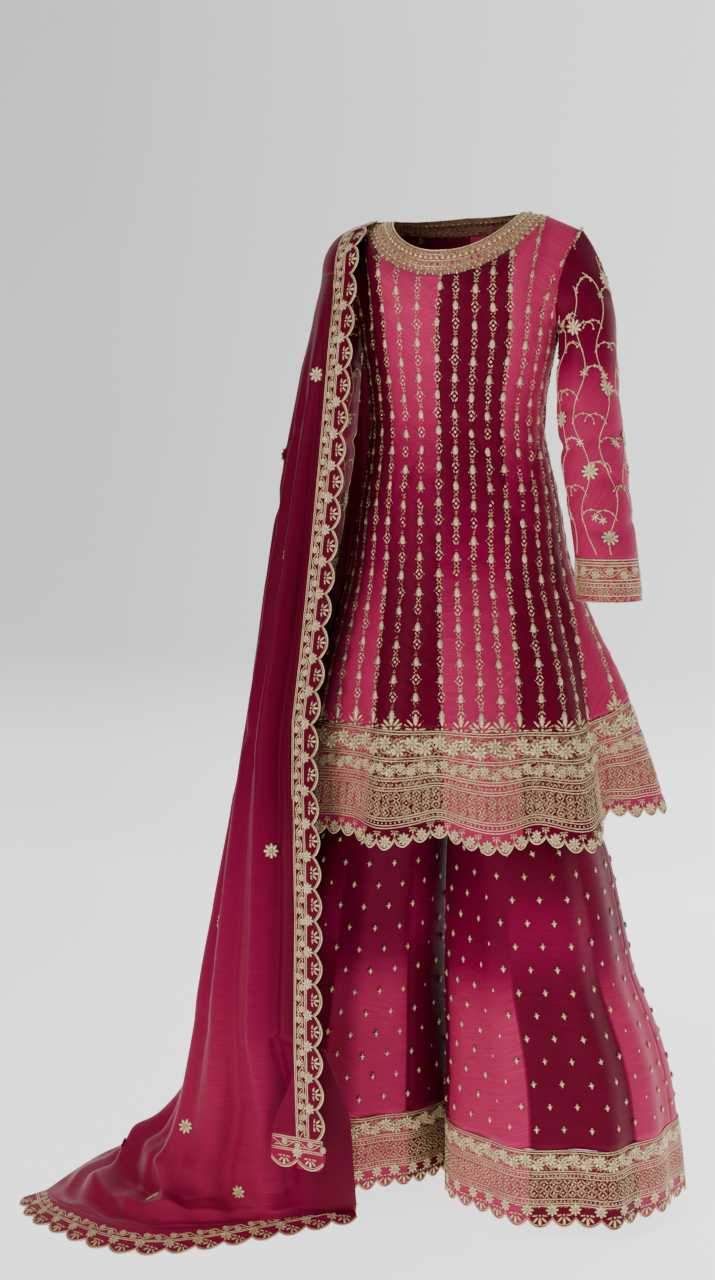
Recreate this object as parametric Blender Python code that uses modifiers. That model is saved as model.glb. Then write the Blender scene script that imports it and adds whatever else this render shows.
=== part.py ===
# Salwar suit: a flared kurta, a wide sharara and a dupatta over one shoulder.
# Metres, +Z up. The wearer faces -Y. The origin is at the height of the neck point, where the wearer holds it.
import math

import bpy
from mathutils import Vector

# Driving sizes
NECK_HEIGHT = 1.511
CLOTH = 0.0012
SEAM = 0.0005
SCALLOP_COLUMNS = 3

BUST_HEIGHT = 1.335
HEM_FRONT = 0.606
HEM_SIDE = 0.640
HEM_DIP = 0.45
BORDER_DEPTH = 0.160
KURTA_SCALLOP = 0.012
KURTA_SCALLOPS = 66
FOLD_TOP = 1.02
SEAM_TURN_TOP = 1.28
PANEL_TRIM = 0.004
PANEL_COLUMNS = (10, 12, 12, 8, 8, 12, 12, 10)
ARMHOLE_SPANS = 12

NECK_BAND = 0.038
NECK_SEAM = 0.0014
NECK_TILT = 0.009
LEFT_SHOULDER_DROP = 0.016
LEFT_SHOULDER_SHARE = 0.80
SLEEVE_START = 1.33
CAP_REACH_RIGHT = 0.018
CAP_REACH_LEFT = 0.008
SLEEVE_SEAM = 0.0024
CUFF_TOP = 1.009
CUFF_BOTTOM = 0.947

WAIST_HEIGHT = 1.00
WAISTBAND = 0.030
CROTCH_HEIGHT = 0.74
LEG_ROUND_HEIGHT = 0.56
LEG_BORDER_TOP = 0.140
LEG_HEM = 0.022
LEG_SCALLOP = 0.012
LEG_SCALLOPS = 32
CROTCH_GAP = 0.0015

EDGE_BAND = 0.048
EDGE_SCALLOP = 0.012
TRAIN_SCALLOP_PITCH = 0.045
DRAPE_TOP = 1.42
DRAPE_PEAK = 0.085
FLAP_BOTTOM = 0.112
FRONT_SPANS = 14
FLAP_SPANS = 2
FLAP_TOP = FLAP_BOTTOM + (DRAPE_TOP - FLAP_BOTTOM) * FLAP_SPANS / FRONT_SPANS
SHOULDER_SPANS = 9
BACK_SPANS = 8
FLAP_WIDTH = 0.078
FLAP_SPREAD = 0.014
FLAP_SCALLOPS = 1
TRAIN_BEHIND = 0.007
BACK_END = 0.66
FLOOR_LIFT = 0.0012

# Kurta sections below the arms, how far the wall stands from the middle: height, right, left, front, back
KURTA_SECTIONS = [
    (1.335, 0.150, 0.147, 0.118, 0.098),
    (1.236, 0.134, 0.132, 0.112, 0.088),
    (1.176, 0.135, 0.132, 0.107, 0.086),
    (1.086, 0.154, 0.146, 0.118, 0.102),
    (0.995, 0.172, 0.160, 0.134, 0.122),
    (0.934, 0.196, 0.178, 0.148, 0.140),
    (0.829, 0.244, 0.212, 0.180, 0.172),
    (0.720, 0.282, 0.242, 0.208, 0.202),
    (0.590, 0.312, 0.266, 0.228, 0.232),
]

# Seams between the eight kurta panels, from centre back round the left side, in degrees from centre front:
# at the bust, at the hem
KURTA_SEAMS = [(-180, -180), (-130, -112), (-85, -50), (-37, -17), (-1.5, 6.5), (41, 28), (88, 54), (132, 112),
               (180, 180)]

# Flutes of each hem: place and half spread in degrees, and how far it stands out at the hem
KURTA_FLUTES = [
    (-148, 17, 0.020), (-114, 17, 0.022), (-80, 16, 0.014), (-45, 16, 0.014), (-11, 14, 0.022), (5, 7, -0.012),
    (20, 13, 0.024), (44, 12, 0.026), (62, 10, -0.028), (84, 16, 0.024), (116, 15, 0.020), (148, 16, 0.022),
    (180, 15, 0.020),
]
RIGHT_LEG_FLUTES = [
    (-60, 28, 0.010), (-8, 22, 0.014), (34, 17, 0.020), (68, 16, 0.006), (104, 22, 0.018), (144, 18, 0.016),
    (178, 16, 0.014), (-144, 20, 0.014), (-102, 18, 0.006),
]
LEFT_LEG_FLUTES = [
    (52, 20, 0.008), (14, 18, 0.016), (-30, 20, 0.018), (-74, 22, 0.016), (-118, 22, 0.016), (-160, 20, 0.016),
    (150, 22, 0.014),
]

# Where the neck band ends on the shoulder and where the shoulder ends, in panels from the centre;
# neck angles: panels from the centre, degrees
NECK_CORNER = 4.0 / 3.0
SHOULDER_TIP = 1.5
NECK_SIDE = (0.1365, 0.0, 1.5035)
SHOULDER_SEAM = 0.0012
NECK_ANGLES = [(0.0, 0.0), (0.5, 23.0), (1.0, 48.0), (NECK_CORNER, 90.0)]

# The armhole edge on the right-hand side, from the shoulder tip down to the arm pit: panels, x, y, height
FRONT_TOP = [
    (1.50, 0.185, -0.0012, 1.482), (1.64, 0.172, -0.042, 1.445),
    (1.80, 0.159, -0.056, 1.392), (1.92, 0.1535, -0.034, 1.357), (2.00, 0.152, 0.000, 1.348),
]
BACK_TOP = [
    (1.50, 0.185, 0.0012, 1.482), (1.64, 0.174, 0.040, 1.445),
    (1.80, 0.162, 0.050, 1.392), (1.92, 0.1545, 0.032, 1.357), (2.00, 0.152, 0.000, 1.348),
]

# Sleeve sections below the arm: height, center x and y, half width, half depth
RIGHT_SLEEVE = [
    (1.330, 0.196, -0.003, 0.042, 0.048), (1.265, 0.199, -0.013, 0.046, 0.050), (1.176, 0.209, -0.033, 0.048, 0.050),
    (1.090, 0.224, -0.052, 0.047, 0.049), (1.010, 0.239, -0.072, 0.046, 0.048), (0.940, 0.246, -0.081, 0.047, 0.048),
]
LEFT_SLEEVE = [
    (1.330, -0.185, 0.002, 0.033, 0.045), (1.265, -0.190, 0.008, 0.035, 0.044), (1.176, -0.199, 0.010, 0.036, 0.044),
    (1.090, -0.211, 0.008, 0.036, 0.043), (1.010, -0.223, 0.002, 0.036, 0.042), (0.940, -0.233, -0.002, 0.036, 0.042),
]

# Hip yoke sections: height, half width, half depth; and legs below the crotch: height, center x and y, half width
# and half depth
YOKE_SECTIONS = [(1.000, 0.128, 0.098), (0.930, 0.142, 0.112), (0.840, 0.156, 0.124), (0.740, 0.164, 0.130)]
RIGHT_LEG = [
    (0.740, 0.083, 0.000, 0.081, 0.130), (0.560, 0.112, -0.004, 0.118, 0.128), (0.375, 0.130, 0.006, 0.138, 0.146),
    (0.245, 0.152, 0.020, 0.160, 0.156), (0.140, 0.160, 0.028, 0.169, 0.164), (0.020, 0.165, 0.032, 0.174, 0.168),
]
LEFT_LEG = [
    (0.740, -0.083, 0.000, 0.081, 0.130), (0.560, -0.124, 0.018, 0.106, 0.124), (0.375, -0.150, 0.048, 0.120, 0.134),
    (0.245, -0.165, 0.064, 0.134, 0.142), (0.140, -0.173, 0.072, 0.141, 0.147), (0.020, -0.179, 0.078, 0.146, 0.150),
]

# Dupatta front, four rails from the scalloped edge round the arm to the rear edge:
# height, edge x and y, front x and y, side x and y, rear x and y
DRAPE_SECTIONS = [
    (1.420, -0.128, -0.098, -0.185, -0.062, -0.206, 0.006, -0.158, 0.106),
    (1.373, -0.126, -0.118, -0.191, -0.078, -0.216, 0.004, -0.168, 0.112),
    (1.282, -0.128, -0.132, -0.206, -0.088, -0.234, 0.002, -0.184, 0.116),
    (1.129, -0.137, -0.138, -0.228, -0.096, -0.259, 0.002, -0.196, 0.126),
    (0.995, -0.146, -0.150, -0.244, -0.108, -0.276, 0.002, -0.212, 0.142),
    (0.865, -0.152, -0.178, -0.258, -0.130, -0.291, 0.002, -0.232, 0.160),
    (0.739, -0.156, -0.214, -0.272, -0.156, -0.307, 0.002, -0.254, 0.174),
    (0.636, -0.144, -0.243, -0.284, -0.176, -0.322, 0.000, -0.272, 0.176),
    (0.457, -0.138, -0.249, -0.312, -0.182, -0.354, -0.004, -0.306, 0.158),
    (0.330, -0.139, -0.250, -0.336, -0.186, -0.375, -0.012, -0.340, 0.134),
    (0.100, -0.133, -0.250, -0.350, -0.190, -0.415, -0.020, -0.390, 0.120),
]

# Dupatta back, three rails from the scalloped edge outwards: height, inner x and y, middle x and y, outer x and y
BACK_SECTIONS = [
    (1.420, -0.112, 0.125, -0.176, 0.118, -0.203, 0.072),
    (1.300, -0.108, 0.134, -0.186, 0.134, -0.222, 0.092),
    (1.120, -0.100, 0.140, -0.196, 0.150, -0.244, 0.112),
    (0.960, -0.090, 0.160, -0.206, 0.172, -0.264, 0.132),
    (0.800, -0.078, 0.200, -0.216, 0.208, -0.284, 0.168),
    (0.660, -0.066, 0.244, -0.222, 0.240, -0.298, 0.200),
]

# Dupatta train, from the foot of the front fall out along the floor: inner, front, side and rear points of each line
TRAIN_SECTIONS = [
    ((-0.117, -0.190, 0.190), (-0.355, -0.196, 0.170), (-0.415, -0.026, 0.160), (-0.405, 0.142, 0.120)),
    ((-0.114, -0.168, 0.090), (-0.366, -0.220, 0.080), (-0.478, -0.060, 0.070), (-0.530, 0.132, 0.022)),
    ((-0.116, -0.146, 0.030), (-0.366, -0.262, 0.040), (-0.530, -0.150, 0.030), (-0.594, -0.010, 0.010)),
    ((-0.121, -0.132, 0.012), (-0.372, -0.300, 0.024), (-0.545, -0.245, 0.020), (-0.612, -0.172, 0.010)),
]
TRAIN_END = ((-0.112, -0.150, 0.0), (-0.372, -0.352, 0.0), (-0.572, -0.292, 0.0), (-0.648, -0.200, 0.0))

WINE = (0.150, 0.003, 0.028)
PINK = (0.600, 0.070, 0.190)
MAGENTA = (0.300, 0.008, 0.080)
GOLD = (0.600, 0.450, 0.250)


def clear_scene():
    for item in list(bpy.data.objects):
        bpy.data.objects.remove(item, do_unlink=True)


def make_material(name, color, roughness, metallic):
    material = bpy.data.materials.new(name)
    material.use_nodes = True
    shader = material.node_tree.nodes["Principled BSDF"]
    shader.inputs["Base Color"].default_value = (*color, 1.0)
    shader.inputs["Roughness"].default_value = roughness
    shader.inputs["Metallic"].default_value = metallic
    material.diffuse_color = (*color, 1.0)
    return material


def mix(a, b, share):
    return a + (b - a) * share


def ease(value):
    value = min(max(value, 0.0), 1.0)
    return value * value * (3.0 - 2.0 * value)


def steps(first, last, count):
    return [mix(first, last, i / count) for i in range(count + 1)]


def place(x, y, height):
    return Vector((x, y, height - NECK_HEIGHT))


def smooth_between(before, start, end, after, share):
    # A Catmull-Rom step from start to end
    square = share * share
    cube = square * share
    return 0.5 * (2.0 * start + (end - before) * share + (2.0 * before - 5.0 * start + 4.0 * end - after) * square
                  + (3.0 * start - before - 3.0 * end + after) * cube)


def from_table(table, key):
    # The row of a table at a key, read smoothly between its rows; the first column is the key
    rising = table[-1][0] > table[0][0]
    last = len(table) - 2
    index = 0
    while index < last and (table[index + 1][0] < key) == rising:
        index += 1
    start, end = table[index], table[index + 1]
    before = table[max(index - 1, 0)]
    after = table[min(index + 2, len(table) - 1)]
    share = min(max((key - start[0]) / (end[0] - start[0]), 0.0), 1.0)
    return [smooth_between(before[i], start[i], end[i], after[i], share) for i in range(1, len(start))]


def bezier(a, b, c, d, share):
    rest = 1.0 - share
    return a * rest ** 3 + b * (3.0 * share * rest ** 2) + c * (3.0 * share ** 2 * rest) + d * share ** 3


def flute(flutes, angle):
    # How far the folds stand out at an angle, before the share for the height
    out = 0.0
    for place_angle, spread, depth in flutes:
        away = abs((angle - place_angle + 180.0) % 360.0 - 180.0)
        if away < spread:
            out += depth * math.cos(0.5 * math.pi * away / spread) ** 2
    return out


def scallop(position, depth):
    # Rounded lobes, one for each whole number of position; zero at the lobe's tip and depth at a junction
    return depth * (1.0 - abs(math.sin(math.pi * position)))


def make_wall(name, rows, material, ring=False):
    # A cloth wall: rows of points joined by faces, thickened to both sides
    vertices = [point for row in rows for point in row]
    width = len(rows[0])
    spans = width if ring else width - 1
    faces = []
    for i in range(len(rows) - 1):
        for j in range(spans):
            k = (j + 1) % width
            faces.append((i * width + j, i * width + k, (i + 1) * width + k, (i + 1) * width + j))
    mesh = bpy.data.meshes.new(name)
    mesh.from_pydata(vertices, [], faces)
    mesh.materials.append(material)
    mesh.shade_smooth()
    item = bpy.data.objects.new(name, mesh)
    collection.objects.link(item)
    wall = item.modifiers.new("Cloth", "SOLIDIFY")
    wall.thickness = CLOTH
    wall.offset = 0.0
    return item


# Kurta

def kurta_angle(panel, height):
    # Degrees from centre front of a place counted in panels from centre back
    turn = ease((SEAM_TURN_TOP - height) / (SEAM_TURN_TOP - HEM_FRONT))
    index = min(int(panel), len(KURTA_SEAMS) - 2)
    share = panel - index
    bust = mix(KURTA_SEAMS[index][0], KURTA_SEAMS[index + 1][0], share)
    hem = mix(KURTA_SEAMS[index][1], KURTA_SEAMS[index + 1][1], share)
    return mix(bust, hem, turn)


def kurta_hem(panel):
    # The height of the hem, higher at the sides, before its dips
    return mix(HEM_FRONT, HEM_SIDE, ease((abs(kurta_angle(panel, HEM_FRONT)) - 46.0) / 40.0))


def kurta_body(panel, height):
    angle = kurta_angle(panel, height)
    right, left, front, back = from_table(KURTA_SECTIONS, height)
    turn = math.radians(angle)
    side = math.sin(turn)
    ahead = math.cos(turn)
    grow = max(FOLD_TOP - height, 0.0) / (FOLD_TOP - HEM_FRONT)
    out = flute(KURTA_FLUTES, angle) * grow ** 1.4
    x = side * ((right if side > 0.0 else left) + out)
    y = -ahead * ((front if ahead > 0.0 else back) + out)
    return place(x, y, height)


def neck_point(angle, share):
    # The neck opening at an angle from centre front; share runs from 0 at its inner edge to 1 at the band's outer one
    turn = math.radians(angle)
    side = math.sin(turn)
    ahead = math.cos(turn)
    half = mix(0.097, 0.135, share)
    if ahead > 0.0:
        y = -ahead * mix(0.092, 0.110, share)
        height = mix(1.511, 1.504, share) - mix(0.060, 0.090, share) * ahead ** 1.5
    else:
        y = -ahead * mix(0.056, 0.082, share)
        height = mix(1.511, 1.504, share) - mix(0.002, 0.020, share) * abs(ahead) ** 1.5
    return place(half * side, y, height + NECK_TILT * min(side, 0.0))


def left_side(x, height):
    # The left shoulder is drawn in and sits a little lower than the right one
    inner = 0.135
    past = max(abs(x) - inner, 0.0)
    drop = NECK_TILT + LEFT_SHOULDER_DROP * ease((abs(x) - inner) / 0.05)
    return -(min(abs(x), inner) + past * LEFT_SHOULDER_SHARE), height - drop * ease((height - 1.36) / 0.1)


def kurta_top(panel):
    # The top edge of a kurta panel, and the way the cloth leaves it
    front = 2.0 <= panel <= 6.0
    right = panel >= 4.0
    from_back = min(panel, 8.0 - panel)
    away = abs(panel - 4.0) if front else from_back
    face = -1.0 if front else 1.0
    if away <= NECK_CORNER:
        angle = from_table(NECK_ANGLES, away)[0]
        angle = angle if front else 180.0 - angle
        edge = neck_point(angle if right else -angle, 1.0 + NECK_SEAM / NECK_BAND)
        flat = ease(away / NECK_CORNER)
    else:
        table = FRONT_TOP if front else BACK_TOP
        if away < SHOULDER_TIP:
            share = (away - NECK_CORNER) / (SHOULDER_TIP - NECK_CORNER)
            x, y, height = [mix(a, b, share) for a, b in zip(NECK_SIDE, table[0][1:])]
            y += face * SHOULDER_SEAM * (1.0 - share)
        else:
            x, y, height = from_table(table, away)
        if not right:
            x, height = left_side(x, height)
        edge = place(x, y, height)
        flat = 1.0 - ease((away - SHOULDER_TIP + 0.05) / 0.4)
    leave = Vector((0.0, face * mix(0.008, 0.042, flat), -mix(0.030, 0.012, flat)))
    if away > SHOULDER_TIP:
        leave *= mix(1.0, 0.12, ease((away - SHOULDER_TIP) / 0.5))
    return edge, leave


def kurta_upper(panel, share):
    # Above the bust each column rises to the neck band, the shoulder seam or the armhole
    low = kurta_body(panel, BUST_HEIGHT)
    edge, leave = kurta_top(panel)
    rise = 0.35 * (edge.z - low.z)
    return bezier(low, low + Vector((0.0, 0.0, rise)), edge + leave, edge, share)


def make_kurta_panel(number, material):
    columns = steps(number - 1 + PANEL_TRIM, number - PANEL_TRIM, PANEL_COLUMNS[number - 1])
    rows = [[kurta_upper(panel, share) for panel in columns] for share in steps(1.0, 0.0, 5)[:-1]]
    for share in steps(0.0, 1.0, 9):
        row = []
        for panel in columns:
            low = kurta_hem(panel) + BORDER_DEPTH + SEAM
            row.append(kurta_body(panel, mix(BUST_HEIGHT, low, share)))
        rows.append(row)
    make_wall("kurta_panel_%d" % number, rows, material)


def even_panels(count):
    # Places evenly spread along the hem, counted in panels
    panels = steps(0.0, 8.0, 480)
    line = [kurta_body(panel, kurta_hem(panel)) for panel in panels]
    lengths = [(b - a).length for a, b in zip(line, line[1:])]
    pitch = sum(lengths) / count
    places = []
    walked = 0.0
    for i, length in enumerate(lengths):
        while len(places) < count and walked + length >= len(places) * pitch:
            places.append(mix(panels[i], panels[i + 1], (len(places) * pitch - walked) / length))
        walked += length
    return places


def make_kurta_border(material):
    top = []
    bottom = []
    for i, panel in enumerate(even_panels(KURTA_SCALLOPS * SCALLOP_COLUMNS)):
        hem = kurta_hem(panel)
        dip = HEM_DIP * flute(KURTA_FLUTES, kurta_angle(panel, HEM_FRONT))
        top.append(kurta_body(panel, hem + BORDER_DEPTH - SEAM))
        bottom.append(kurta_body(panel, hem - dip + scallop(i / SCALLOP_COLUMNS + 0.5, KURTA_SCALLOP)))
    make_wall("kurta_hem_border", [top, bottom], material, ring=True)


def make_neck_band(material):
    angles = steps(-180.0, 180.0, 56)[:-1]
    rows = [[neck_point(angle, share) for angle in angles] for share in (0.0, 1.0)]
    make_wall("neck_band", rows, material, ring=True)


def armhole(turn, right):
    # The armhole ring: turn 0 at the shoulder tip, 0.25 at the front, 0.5 under the arm, 0.75 at the back
    front = turn <= 0.5
    away = 1.5 + turn if front else 2.5 - turn
    x, y, height = from_table(FRONT_TOP if front else BACK_TOP, away)
    if right:
        return place(x + SLEEVE_SEAM, y, height)
    x, height = left_side(x, height)
    return place(x - SLEEVE_SEAM, y, height)


def sleeve_round(table, turn, height):
    center_x, center_y, half_width, half_depth = from_table(table, height)
    angle = 2.0 * math.pi * turn
    side = 1.0 if center_x > 0.0 else -1.0
    return place(center_x + side * half_width * math.cos(angle), center_y - half_depth * math.sin(angle), height)


def sleeve_cap(table, turn, share):
    right = table[0][1] > 0.0
    edge = armhole(turn, right)
    low = sleeve_round(table, turn, SLEEVE_START)
    drop = edge.z - low.z
    outward = 0.5 + 0.5 * math.cos(2.0 * math.pi * turn)
    reach = (CAP_REACH_RIGHT if right else -CAP_REACH_LEFT) * outward
    return bezier(edge, edge + Vector((reach, 0.0, -0.12 * drop)), low + Vector((0.0, 0.0, 0.45 * drop)), low, share)


def make_sleeve(side, table, material):
    turns = steps(0.0, 1.0, ARMHOLE_SPANS)[:-1]
    rows = [[sleeve_cap(table, turn, share) for turn in turns] for share in steps(0.0, 1.0, 5)[:-1]]
    for height in steps(SLEEVE_START, CUFF_TOP + SEAM, 6):
        rows.append([sleeve_round(table, turn, height) for turn in turns])
    make_wall("sleeve_" + side, rows, material, ring=True)


def make_cuff(side, table, material):
    turns = steps(0.0, 1.0, ARMHOLE_SPANS)[:-1]
    rows = [[sleeve_round(table, turn, height) for turn in turns] for height in (CUFF_TOP - SEAM, CUFF_BOTTOM)]
    make_wall("cuff_" + side, rows, material, ring=True)


# Sharara

def yoke_point(angle, height):
    half_width, half_depth = from_table(YOKE_SECTIONS, height)
    turn = math.radians(angle)
    return place(half_width * math.sin(turn), -half_depth * math.cos(turn), height)


def leg_point(table, flutes, angle, height):
    # A leg starts as half of the yoke's oval, closed at the crotch, and turns round on its way down
    center_x, center_y, half_width, half_depth = from_table(table, height)
    turn = math.radians(angle)
    outward = 1.0 if center_x > 0.0 else -1.0
    side = math.sin(turn)
    grow = max(CROTCH_HEIGHT - height, 0.0) / (CROTCH_HEIGHT - LEG_HEM)
    out = flute(flutes, angle) * grow
    round_x = center_x + side * (half_width + out)
    round_y = center_y - math.cos(turn) * (half_depth + out)
    top_width, top_depth = YOKE_SECTIONS[-1][1:]
    flat_x = outward * (CROTCH_GAP + max(side * outward, 0.0) * (top_width - CROTCH_GAP))
    flat_y = -math.cos(turn) * top_depth
    share = ease((CROTCH_HEIGHT - height) / (CROTCH_HEIGHT - LEG_ROUND_HEIGHT))
    return place(mix(flat_x, round_x, share), mix(flat_y, round_y, share), height)


def make_waistband(material):
    angles = steps(-180.0, 180.0, 28)[:-1]
    rows = []
    for height in (WAIST_HEIGHT + WAISTBAND, WAIST_HEIGHT + SEAM):
        rows.append([yoke_point(angle, WAIST_HEIGHT) + Vector((0.0, 0.0, height - WAIST_HEIGHT)) for angle in angles])
    make_wall("sharara_waistband", rows, material, ring=True)


def make_yoke(material):
    angles = steps(-180.0, 180.0, 28)[:-1]
    rows = [[yoke_point(angle, height) for angle in angles] for height in steps(WAIST_HEIGHT, CROTCH_HEIGHT + SEAM, 4)]
    make_wall("sharara_yoke", rows, material, ring=True)


def make_leg(side, table, flutes, material):
    halves = {"front": (-90.0, 90.0), "back": (90.0, 270.0)}
    for half, (first, last) in halves.items():
        trim = 0.25
        angles = steps(first + trim, last - trim, 14)
        rows = []
        for height in steps(CROTCH_HEIGHT - SEAM, LEG_BORDER_TOP + SEAM, 7):
            rows.append([leg_point(table, flutes, angle, height) for angle in angles])
        make_wall("sharara_leg_%s_%s" % (side, half), rows, material)


def make_leg_border(side, table, flutes, material):
    count = LEG_SCALLOPS * SCALLOP_COLUMNS
    top = []
    bottom = []
    for i in range(count):
        angle = 360.0 * i / count
        top.append(leg_point(table, flutes, angle, LEG_BORDER_TOP - SEAM))
        hem = LEG_HEM + scallop(i / SCALLOP_COLUMNS + 0.5, LEG_SCALLOP)
        bottom.append(leg_point(table, flutes, angle, hem))
    make_wall("sharara_hem_border_" + side, [top, bottom], material, ring=True)


# Dupatta

def smooth_line(points, share):
    # A smooth line through a few points, read at a share of its spans
    spans = len(points) - 1
    index = min(int(share * spans), spans - 1)
    before = points[max(index - 1, 0)]
    after = points[min(index + 2, spans)]
    return smooth_between(before, points[index], points[index + 1], after, share * spans - index)


def along(line, distance):
    # The point at a distance along a line of points, from its first one
    for start, end in zip(line, line[1:]):
        length = (end - start).length
        if distance <= length:
            return mix(start, end, distance / length)
        distance -= length
    return line[-1]


def line_length(line):
    return sum((end - start).length for start, end in zip(line, line[1:]))


def rails_at(table, height):
    row = from_table(table, height)
    return [place(row[i], row[i + 1], height) for i in range(0, len(row), 2)]


def drape_line(height):
    # The front of the dupatta at one height, from its scalloped edge to its rear edge
    rails = rails_at(DRAPE_SECTIONS, height)
    return [smooth_line(rails, share) for share in steps(0.0, 1.0, 36)]


def back_line(height):
    # The back of the dupatta hangs from the shoulder, clear of its front part
    inner, middle, outer = rails_at(BACK_SECTIONS, height)
    side = rails_at(DRAPE_SECTIONS, DRAPE_TOP)[2]
    beyond = outer + side - rails_at(BACK_SECTIONS, DRAPE_TOP)[2]
    return [smooth_line([inner, middle, outer, beyond], share) for share in steps(0.0, 2.0 / 3.0, 18)]


def shoulder_line(turn):
    # Over the shoulder: turn 0 at the front, 1 at the back; from the inner edge to the tip of the arm
    edge, front, side, _ = rails_at(DRAPE_SECTIONS, DRAPE_TOP)
    behind_rails = rails_at(BACK_SECTIONS, DRAPE_TOP) + [side]
    across = 0.5 - 0.5 * math.cos(math.pi * turn)
    line = []
    for share in steps(0.0, 0.985, 18):
        point = mix(smooth_line([edge, front, side], share), smooth_line(behind_rails, share), across)
        point.z += DRAPE_PEAK * (1.0 - share ** 1.5) ** 0.8 * math.sin(math.pi * turn)
        line.append(point)
    return line


def front_lines():
    return [drape_line(height) for height in steps(DRAPE_TOP, FLAP_BOTTOM, FRONT_SPANS)]


def shoulder_lines():
    return [shoulder_line(turn) for turn in steps(0.004, 0.996, SHOULDER_SPANS)]


def back_lines():
    return [back_line(height) for height in steps(DRAPE_TOP, BACK_END, BACK_SPANS)]


def lines_between(lines, count):
    # The same straight lengthwise threads as the sheet beside them, at count places in each span
    between = []
    for start, end in zip(lines, lines[1:]):
        for i in range(count):
            between.append([mix(a, b, i / count) for a, b in zip(start, end)])
    return between + [lines[-1]]


def draw_back(lines, first, last):
    # The first and last line of a stretch, drawn in to leave the seam open
    start = [mix(a, b, first / (b - a).length) for a, b in zip(lines[0], lines[1])]
    end = [mix(b, a, last / (b - a).length) for a, b in zip(lines[-2], lines[-1])]
    return [start] + lines[1:-1] + [end]


def cloth_rows(lines, spans):
    rows = []
    for line in lines:
        rows.append([along(line, distance) for distance in steps(EDGE_BAND + 2.0 * SEAM, line_length(line), spans)])
    return rows


def make_dupatta_shoulder(material):
    make_wall("dupatta_shoulder", cloth_rows(shoulder_lines(), 7), material)


def make_front_fall(material):
    lines = draw_back(front_lines()[:-FLAP_SPANS], SEAM, SEAM)
    make_wall("dupatta_front_fall", cloth_rows(lines, 13), material)


def make_flap(material):
    # The front corner of the dupatta hangs as a narrow flap that spreads to a scalloped end
    lines = draw_back(front_lines()[-FLAP_SPANS - 1:], SEAM, 0.0)
    rows = []
    for i, line in enumerate(lines):
        width = FLAP_WIDTH + FLAP_SPREAD * i / FLAP_SPANS
        distances = steps(EDGE_BAND + 2.0 * SEAM, width, FLAP_SCALLOPS * SCALLOP_COLUMNS)
        rows.append([along(line, distance) for distance in distances])
    for i, point in enumerate(rows[-1]):
        point.z += scallop(i / SCALLOP_COLUMNS, EDGE_SCALLOP)
    make_wall("dupatta_front_flap", rows, material)


def make_back_fall(material):
    lines = draw_back(back_lines(), SEAM, 0.0)
    make_wall("dupatta_back_fall", cloth_rows(lines, 8), material)


def border_rows(lines):
    # A scalloped strip along the inner edge
    rows = []
    for i, line in enumerate(lines):
        rows.append([along(line, scallop(i / SCALLOP_COLUMNS, EDGE_SCALLOP)), along(line, EDGE_BAND)])
    return rows


def make_edge_border(material):
    down = lines_between(draw_back(front_lines(), SEAM, 0.0), 2 * SCALLOP_COLUMNS)
    make_wall("dupatta_border_front", border_rows(down), material)
    over = lines_between(shoulder_lines(), 2)
    back = lines_between(draw_back(back_lines(), 4.0 * SEAM, 0.0), 2 * SCALLOP_COLUMNS)
    make_wall("dupatta_border_back", border_rows(over + back), material)


def train_point(share, across):
    # The train starts at the foot of the front fall; behind the flap it stands back from it
    line = drape_line(FLAP_TOP)
    distance = line_length(line) * across
    start = along(line, distance)
    behind = TRAIN_BEHIND * (1.0 - ease((distance - FLAP_WIDTH) / 0.02))
    start += Vector((0.2 * behind, behind, -0.6 * SEAM))
    lower = [smooth_line([place(*point) for point in row], across) for row in TRAIN_SECTIONS]
    return smooth_line([start] + lower, share)


def train_line(share):
    # A line across the train, from its inner side to its rear edge
    return [train_point(share, across) for across in steps(0.0, 1.0, 30)]


def make_train(material):
    rows = [[train_point(share, across) for across in steps(0.0, 1.0, 18)] for share in steps(0.0, 1.0, 9)]
    make_wall("dupatta_train", rows, material)


def make_train_end(material):
    inner = train_line(1.0)
    outer = [smooth_line([place(*point) for point in TRAIN_END], across) for across in steps(0.0, 1.0, 30)]
    count = round(line_length(outer) / TRAIN_SCALLOP_PITCH) * SCALLOP_COLUMNS
    near = []
    far = []
    for i in range(count + 1):
        start = along(inner, line_length(inner) * i / count)
        end = along(outer, line_length(outer) * i / count) + Vector((0.0, 0.0, FLOOR_LIFT))
        reach = (end - start).length
        near.append(mix(start, end, 3.0 * SEAM / reach))
        far.append(mix(start, end, 1.0 - scallop(i / SCALLOP_COLUMNS, EDGE_SCALLOP) / reach))
    make_wall("dupatta_train_end", [near, far], material)


clear_scene()
collection = bpy.data.collections.new("salwar_suit")
bpy.context.scene.collection.children.link(collection)

wine = make_material("wine_silk", WINE, 0.55, 0.0)
pink = make_material("pink_silk", PINK, 0.55, 0.0)
magenta = make_material("magenta_silk", MAGENTA, 0.55, 0.0)
gold = make_material("gold_border", GOLD, 0.45, 0.3)

for panel_number in range(1, 9):
    make_kurta_panel(panel_number, pink if panel_number % 2 == 0 else wine)
make_kurta_border(gold)
make_neck_band(gold)
for side_name, sleeve_table in (("right", RIGHT_SLEEVE), ("left", LEFT_SLEEVE)):
    make_sleeve(side_name, sleeve_table, pink)
    make_cuff(side_name, sleeve_table, gold)

make_waistband(magenta)
make_yoke(magenta)
for side_name, leg_table, leg_flutes in (("right", RIGHT_LEG, RIGHT_LEG_FLUTES), ("left", LEFT_LEG, LEFT_LEG_FLUTES)):
    make_leg(side_name, leg_table, leg_flutes, magenta)
    make_leg_border(side_name, leg_table, leg_flutes, gold)

make_dupatta_shoulder(wine)
make_front_fall(wine)
make_flap(wine)
make_back_fall(wine)
make_edge_border(gold)
make_train(pink)
make_train_end(pink)
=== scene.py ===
import math

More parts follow.
